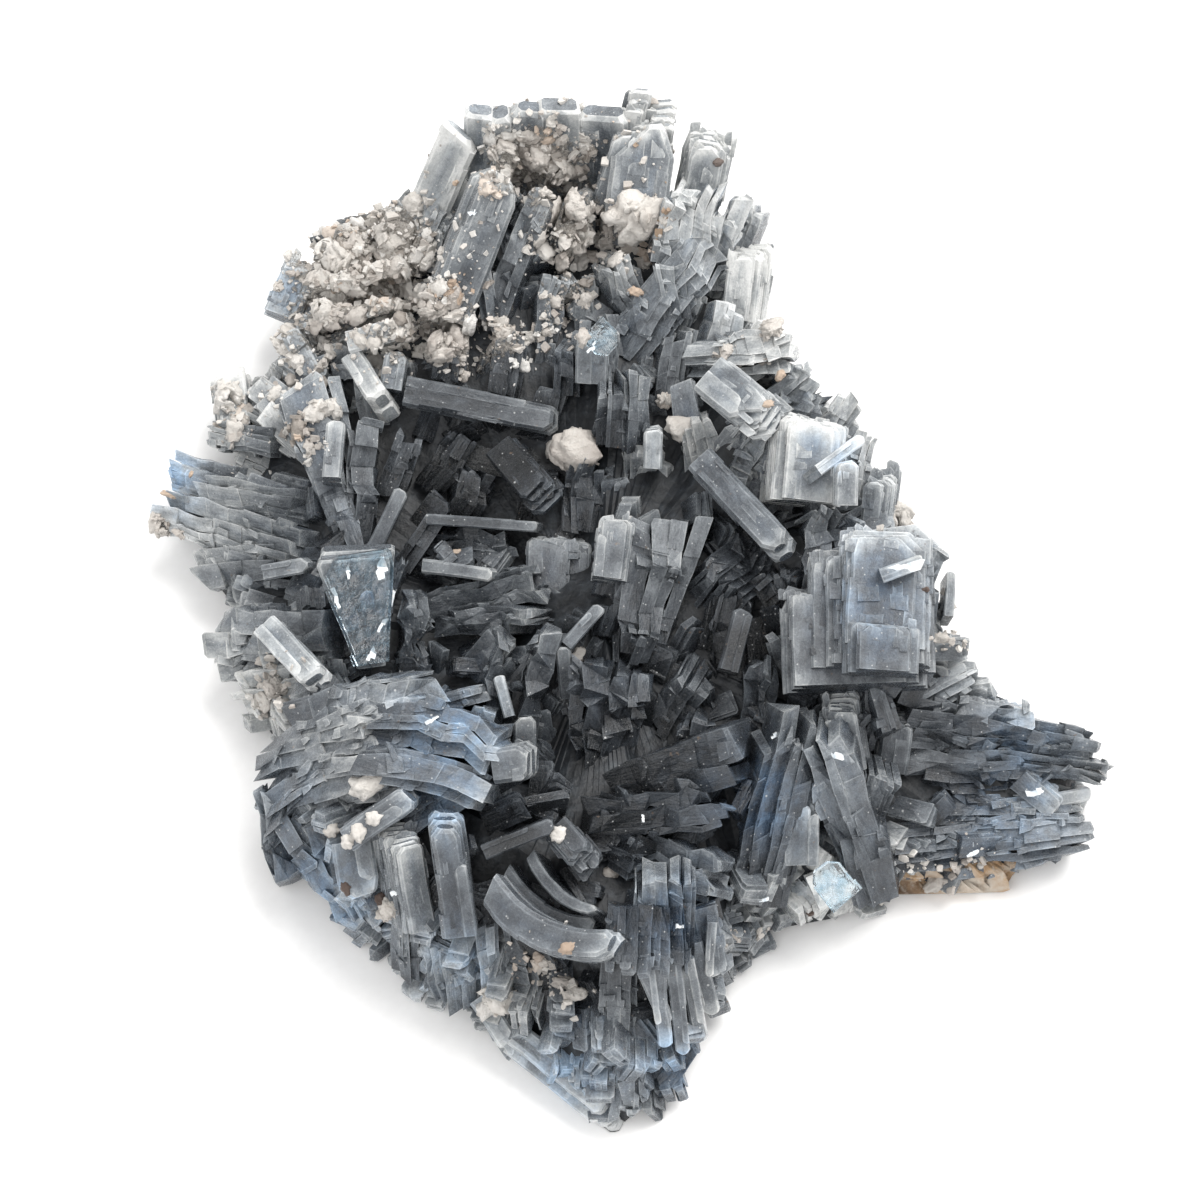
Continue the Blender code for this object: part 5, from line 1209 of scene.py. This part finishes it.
def make_lumps(lumps, material):
    """One mesh of all lumps of the crust."""
    low, high = (np.array(side) / MM for side in CAD_BOX)
    points = np.clip(np.array(lumps[0]), low + 0.02, high - 0.02)
    count = len(lumps[1])
    loops = (np.array(LUMP_FACES)[None] + len(LUMP_POINTS) * np.arange(count)[:, None, None]).ravel()
    made = array_mesh("crust_lumps", points * MM, loops, 3 * np.arange(len(loops) // 3), smooth=True)
    put(made, "grain", "FLOAT_VECTOR", "POINT", "vector", points)
    put(made, "tint", "FLOAT_VECTOR", "POINT", "vector", np.repeat(np.array(lumps[1]), len(LUMP_POINTS), axis=0))
    return finish_piece(made, material, "barite_crystals")


def drusy_crust(tree, material):
    """Lumps and grains of the pale crust, set where rays down the view and from above meet the crystals."""
    chance = random.Random(21)
    crust = Blades(22)
    lumps = ([], [])
    eye = place(0.0, 0.0, AIM_HEIGHT + VIEW_DISTANCE * math.sin(VIEW_ELEVATION) - 0.001)
    weights = [radius * radius * share for _, _, radius, share in CRUST]

    def cast(across, up, from_eye=True):
        aim = place(across, up, 15.0)
        start = eye if from_eye else aim + Vector((chance.uniform(-60, 60), chance.uniform(-60, 60), 90))
        hit, normal, _, _ = tree.ray_cast(start * MM, (aim - start).normalized())
        return (None, None) if hit is None or hit.z < 0.001 else (hit / MM, normal)

    for _ in range(290):
        middle, level, radius, share = chance.choices(CRUST, weights)[0]
        angle = chance.uniform(0, math.tau)
        reach = radius * math.sqrt(chance.random()) * chance.uniform(0.8, 1.25)
        across = middle + reach * math.cos(angle)
        up = level + reach * math.sin(angle)
        spread = chance.uniform(0.3, 1.5)
        orange = chance.uniform(0.2, 0.5) if chance.random() < 0.07 else 0.0
        shade = chance.gauss(0.55, 0.16)
        spot, normal = cast(across, up)
        if spot is not None and chance.random() < 0.75:
            add_lump(lumps, chance, spot, normal, 0.7 * spread + 0.15, (shade, orange, 0.0))
        for _ in range(round(4 + 10 * spread)):
            spot, normal = cast(chance.gauss(across, spread), chance.gauss(up, spread), chance.random() < 0.8)
            if spot is None:
                continue
            size = 0.2 + 0.85 * chance.random() ** 3
            add_grain(crust, chance, spot + normal * size * 0.25, size,
                      (shade + chance.gauss(0.0, 0.05), orange, 0.0), chance.uniform(0.3, 0.7))
    for across, up, height, radius in KNOBS:
        middle = tree.find_nearest(place(across, up, height) * MM)[0] / MM
        shade = chance.gauss(0.5, 0.08)
        for _ in range(9):
            way = Vector([chance.gauss(0, 1) for _ in range(3)]).normalized()
            add_lump(lumps, chance, middle + way * 0.55 * radius, way, chance.uniform(0.35, 0.7) * radius,
                     (shade + chance.gauss(0.06, 0.04), 0.0, 0.0))
        for _ in range(int(9 * radius)):
            way = Vector([chance.gauss(0, 1) for _ in range(3)]).normalized()
            size = radius * chance.uniform(0.1, 0.3)
            add_grain(crust, chance, middle + way * radius * chance.uniform(0.75, 1.0), size,
                      (shade + chance.gauss(0.04, 0.08), 0.0, 0.0), chance.uniform(0.3, 0.6))
    for across, up, long, wide, turn, light, orange, brown in CHIPS:
        spot, normal = cast(across, up)
        if spot is None:
            continue
        axes = crystal_frame(spot, spot + Vector((math.cos(turn), math.sin(turn), 0.15 * math.sin(turn))), 0.0)
        shape = (0.5 * long, 0.5 * wide, 0.28 * min(long, wide) + 0.12)
        add_lump(lumps, chance, spot, normal, 1.0, (light, orange, brown), axes.to_3x3(), shape)
    # Painted highlights: near-white tablets where light glints off facets
    glints = Blades(23)
    for across, up, long, wide, turn in GLINTS:
        spot, normal = cast(across, up)
        if spot is None:
            continue
        axes = crystal_frame(spot, spot + Vector((math.cos(turn), math.sin(turn), 0.25)), 8.0)
        rows = [(start * long, (start + 0.45) * long, chance.uniform(-0.3, 0.3) * wide,
                 chance.uniform(0.2, 0.5) * wide, -0.4, 0.14, chance.uniform(0.2, 0.9), chance.uniform(0.2, 0.9),
                 chance.uniform(-0.6, 0.6), chance.uniform(-0.2, 0.2), 0.0, 0.0, 0.3) for start in (-0.5, -0.2, 0.1)]
        glints.add(axes, np.array(rows), False, long, 1.0, warp=0.0, tint=(0.95, 0.0, 0.0), fade=0.0)
    glints.make("glints", glint_material(), "blue_barite")
    make_lumps(lumps, material)
    return crust.make("drusy_crust", material, DRUSE_SLOT)


def studio():
    """Pale floor, soft light from the upper right, and the camera at the photograph's angle."""
    bpy.ops.mesh.primitive_plane_add(size=6.0, location=(0, 0, -0.0002))
    floor = bpy.context.object
    floor.name = "floor"
    n = Nodes("floor")
    spot = n.new("ShaderNodeTexCoord").outputs["Object"]
    fibre = n.noise(spot, 700.0, 3.0, 0.6)
    n.link(n.ramp(fibre, [(0.3, (0.925, 0.92, 0.915)), (0.7, (0.95, 0.947, 0.943))]), n.shader.inputs["Base Color"])
    n.shader.inputs["Roughness"].default_value = 0.9
    bump = n.new("ShaderNodeBump")
    bump.inputs["Strength"].default_value = 0.15
    bump.inputs["Distance"].default_value = 0.0001
    n.link(fibre, bump.inputs["Height"])
    n.link(bump.outputs[0], n.shader.inputs["Normal"])
    floor.data.materials.append(n.material)
    world = bpy.data.worlds.new("studio")
    bpy.context.scene.world = world
    world.use_nodes = True
    world.node_tree.nodes["Background"].inputs[0].default_value = (1.0, 1.0, 1.0, 1.0)
    world.node_tree.nodes["Background"].inputs[1].default_value = 0.90
    for name, spot, size, power, colour in (
            ("key", (0.45, 0.45, 0.95), 0.9, 16.0, (1.0, 0.985, 0.965)),
            ("fill", (-0.4, -0.6, 0.9), 0.8, 4.0, (1.0, 0.99, 0.98))):
        lamp = bpy.data.lights.new(name, "AREA")
        lamp.energy = power
        lamp.size = size
        lamp.color = colour
        holder = bpy.data.objects.new(name, lamp)
        bpy.context.scene.collection.objects.link(holder)
        holder.location = spot
        holder.rotation_euler = (-Vector(spot)).to_track_quat("-Z", "Y").to_euler()
    bpy.context.scene.view_settings.view_transform = "Standard"
    camera = bpy.data.cameras.new("camera")
    camera.sensor_width = SENSOR_WIDTH
    camera.lens = SENSOR_WIDTH * VIEW_DISTANCE / PICTURE_WIDTH
    camera.clip_start = 0.01
    holder = bpy.data.objects.new("camera", camera)
    bpy.context.scene.collection.objects.link(holder)
    holder.location = (0.0, -MM * VIEW_DISTANCE * math.cos(VIEW_ELEVATION),
                       MM * (AIM_HEIGHT + VIEW_DISTANCE * math.sin(VIEW_ELEVATION)))
    holder.rotation_euler = (math.radians(90.0) - VIEW_ELEVATION, 0.0, 0.0)
    bpy.context.scene.camera = holder


def main():
    studio()
    barite = barite_material()
    samples = np.array(height_samples())
    pieces = []
    near = [row for row in CRYSTALS if row[0][1] + row[1][1] < -45]
    middle = [row for row in CRYSTALS if -45 <= row[0][1] + row[1][1] < 25]
    far = [row for row in CRYSTALS if row[0][1] + row[1][1] >= 25]
    whole = Prisms(7)
    for name, seed, rows in (("blades_near", 1, near), ("blades_middle", 2, middle), ("blades_far", 3, far)):
        blades = Blades(seed)
        for row in rows:
            dress_crystal(blades, whole, *row)
        pieces.append(blades.make(name, barite, "blue_barite"))
    pieces.append(whole.make("whole_crystals", barite, "blue_barite"))
    small = Blades(4)
    scatter_small(small, samples)
    pieces.append(small.make("blades_small", barite, "blue_barite"))
    flank = Blades(5)
    flank_small(flank, samples)
    pieces.append(flank.make("blades_flank", barite, "blue_barite"))

    clear = Prisms(6)
    for foot, tip, width, depth, flare, cuts in CLEAR:
        start, end = place(*foot), place(*tip)
        clear.add(crystal_frame(start, end, 0.0), (end - start).length, width, -depth, 0.0, flare, cuts)
    glass = clear.make("clear_blades", clear_material(), "blue_barite")

    bed = loft_mesh("barite_mass_painted_shade", BED_OUTLINE, [(0.985, 0.45), (0.93, 0.92), (0.7, 1.0), (0.45, 1.0), (0.2, 1.0)],
                    lambda x, y: bed_height(samples, x, y), 0.5)
    pieces.append(finish_piece(bed, bed_material(), "barite_crystals"))
    points = []
    faces = []
    for piece in pieces + [glass]:
        base = len(points)
        points += [vert.co.copy() for vert in piece.data.vertices]
        faces += [tuple(base + k for k in face.vertices) for face in piece.data.polygons]
    tree = BVHTree.FromPolygons(points, faces)
    drusy_crust(tree, crust_material())

    rock = loft_mesh("tan_matrix", ROCK_OUTLINE, [(1.0, 0.2), (0.99, 0.45), (0.98, 0.7), (0.94, 1.0), (0.5, 1.0)],
                     lambda x, y: ROCK_TOP + ROCK_WAVE * math.sin(0.16 * x + 1.0) * math.cos(0.13 * y), 0.0, 16, 3.0)
    finish_piece(rock, rock_material(), "matrix_rock")


main()
